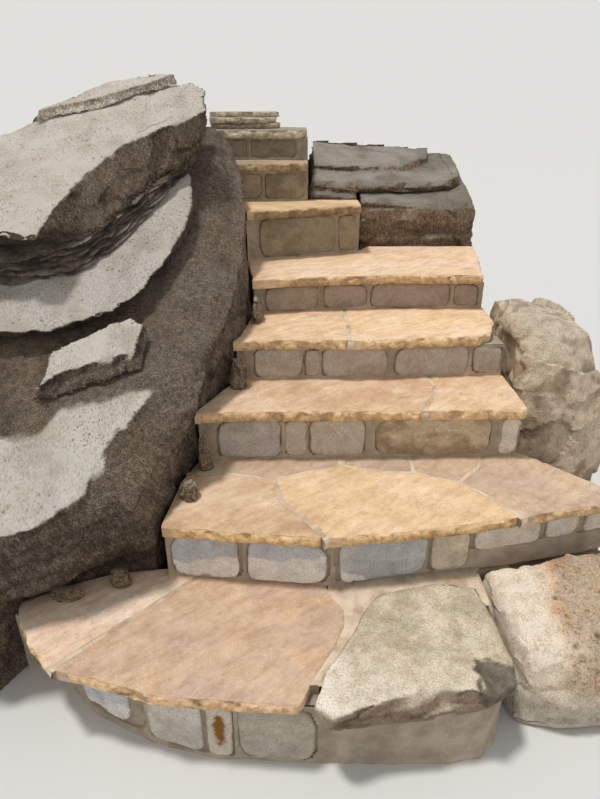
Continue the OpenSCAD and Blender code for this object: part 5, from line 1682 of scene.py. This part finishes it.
def outcrop_rock():
    """Bedded rock: its flecks and grit are drawn out along the bedding. Faces marked as lit take pale colour,
    made paler still, as painted light; the rest take dark colour as painted shade.
    """
    g = Graph("bedded_outcrop")
    tint, up = g.tint()
    bedding = (-math.atan(BED_SLOPE), 0, 0)
    flecks = g.noise(1.0, 5, 0.72, g.stretch((230, 90, 150), bedding))
    grit = g.noise(1.0, 5, 0.74, g.stretch((230, 230, 60), bedding))
    colour = rock_colour(g, tint, up, flecks, grit, bedding)
    # Painted light: faces marked as lit are made paler still
    colour = g.mix(up, colour, g.mix(1.0, colour, (1.16, 1.15, 1.13), "MULTIPLY"))
    pit = g.spots(48, 0.30, 0.12, 13, 3, 0.52, 0.60)
    colour = g.over(colour, pit, 0.6, (0.10, 0.085, 0.07))
    colour = g.shade(colour, (g.noise(9, 5, 0.6), 0.46, 0.62, 0.7, (0.84, 0.79, 0.73)))
    line = g.cracks(3.0, g.stretch((1.0, 0.6, 2.6), bedding), 0.007, 0.02)
    colour = g.over(colour, line, 0.6, (0.022, 0.019, 0.016))
    height = g.total((flecks, 0.7), (g.noise(22, 11, 0.72), 1.6), (grit, 0.6), (line, -0.8))
    return g.finish(colour, height, 0.016, 1.0, 0.95)


def boulder_rock():
    """Weathered limestone: pitted, cracked and, where it is roughest, crusted with knobs and hollows."""
    g = Graph("boulder_limestone")
    tint, rough = g.tint()
    grit = g.noise(210, 5, 0.8)
    colour = g.shade(
        tint, (g.noise(24, 7, 0.75), 0.46, 0.60, 0.7, (0.76, 0.71, 0.64)),
        (grit, 0.50, 0.60, 1.0, (1.26, 1.24, 1.20)), (grit, 0.47, 0.37, 1.0, (0.60, 0.56, 0.50)))
    pit = g.times(g.spots(85, 0.26, 0.10, 24, 3, 0.50, 0.58), rough)
    colour = g.over(colour, pit, 0.7, (0.12, 0.08, 0.05))
    line = g.cracks(5.0, g.place, 0.014, 0.06)
    colour = g.over(colour, line, 0.7, (0.06, 0.045, 0.03))
    crust = g.noise(80, 5, 0.7)
    crusty = g.level(rough, 0.8, 1.0)
    # Darker in the crust's hollows and paler on its knobs, as its relief goes: painted shade and highlight
    hollow = g.times(g.level(crust, 0.46, 0.36), crusty)
    colour = g.over(colour, hollow, 0.75, (0.42, 0.30, 0.19), "MULTIPLY")
    knob = g.times(g.level(crust, 0.54, 0.64), crusty)
    colour = g.over(colour, knob, 0.7, (1.30, 1.27, 1.20), "MULTIPLY")
    broken = g.maths("ADD", pit, line)
    height = g.total((g.noise(26, 10, 0.74), 1.4), (grit, 0.5), (broken, -0.5), (g.times(crust, crusty), 2.2))
    return g.finish(colour, height, 0.010, g.level(rough, 0.2, 1.0, 0.6, 1.0), 0.93)




# Soft light from the upper left, and an even sky
KEY_DIRECTION = (0.25, 0.02, -0.95)
KEY_STRENGTH = 1.95
KEY_ANGLE = 7
SKY_TINT = (0.95, 0.97, 1.0)
SKY_POWER = 0.52
BACKDROP = srgb(226, 224, 220)
FLOOR_COLOUR = srgb(218, 216, 211)
FLOOR_HALF = 40.0
SENSOR_MM = 36.0


def add_camera():
    """The photo's camera."""
    data = bpy.data.cameras.new("photo_camera")
    data.sensor_fit = "HORIZONTAL"
    data.sensor_width = SENSOR_MM
    data.lens = SENSOR_MM * FOCAL_PX / IMAGE_W
    camera = bpy.data.objects.new("photo_camera", data)
    camera.location = EYE
    camera.rotation_euler = (math.radians(90 - PITCH_DEG), 0, 0)
    bpy.context.scene.collection.objects.link(camera)
    bpy.context.scene.camera = camera


def add_key():
    """The sun."""
    data = bpy.data.lights.new("key", "SUN")
    data.energy = KEY_STRENGTH
    data.angle = math.radians(KEY_ANGLE)
    lamp = bpy.data.objects.new("key", data)
    lamp.rotation_euler = Vector(KEY_DIRECTION).to_track_quat("-Z", "Y").to_euler()
    bpy.context.scene.collection.objects.link(lamp)


def add_floor():
    """The floor that the steps stand on, just under the part's lowest face."""
    mesh = bpy.data.meshes.new("floor")
    corners = [(x * FLOOR_HALF, y * FLOOR_HALF, 0) for x, y in ((-1, -1), (1, -1), (1, 1), (-1, 1))]
    mesh.from_pydata(corners, [], [(0, 1, 2, 3)])
    floor = bpy.data.objects.new("floor", mesh)
    floor.location = (0, 0, -MM)
    bpy.context.scene.collection.objects.link(floor)
    material = bpy.data.materials.new("floor_paint")
    material.use_nodes = True
    shader = material.node_tree.nodes["Principled BSDF"]
    shader.inputs["Base Color"].default_value = (*FLOOR_COLOUR, 1)
    shader.inputs["Roughness"].default_value = 0.9
    shader.inputs["Specular IOR Level"].default_value = 0.2
    mesh.materials.append(material)


def add_sky():
    """Even light from the sky, with a plain backdrop where the camera looks past the part."""
    world = bpy.data.worlds.new("sky")
    bpy.context.scene.world = world
    world.use_nodes = True
    tree = world.node_tree
    light = tree.nodes["Background"]
    light.inputs["Color"].default_value = (*SKY_TINT, 1)
    light.inputs["Strength"].default_value = SKY_POWER
    seen = tree.nodes.new("ShaderNodeBackground")
    seen.inputs["Color"].default_value = (*BACKDROP, 1)
    path = tree.nodes.new("ShaderNodeLightPath")
    mix = tree.nodes.new("ShaderNodeMixShader")
    tree.links.new(path.outputs["Is Camera Ray"], mix.inputs[0])
    tree.links.new(light.outputs[0], mix.inputs[1])
    tree.links.new(seen.outputs[0], mix.inputs[2])
    tree.links.new(mix.outputs[0], tree.nodes["World Output"].inputs["Surface"])


def paint_cores(material):
    """A mortar look for the CAD's own pieces that stay in view."""
    for node in (*(f"step_{k}_core" for k in COURSES), "flag_pointing"):
        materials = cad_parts[node].data.materials
        materials.clear()
        materials.append(material)


stone_look = sandstone()
riser_look = riser_rock()
mortar_look = mortar()
rock_look = outcrop_rock()
boulder_look = boulder_rock()
paint_cores(plain_mortar())
add_flags(stone_look)
add_riser_stones(riser_look)
for course in COURSES:
    mortar_face(course, mortar_look)
joint_skin(mortar_look)
add_outcrop(rock_look)
add_boulder_slab(boulder_look)
add_porous_boulder(boulder_look)
add_side_boulder(boulder_look)
add_walls(riser_look, mortar_look)
add_camera()
add_key()
add_floor()
add_sky()
bpy.context.scene.view_settings.view_transform = "Standard"
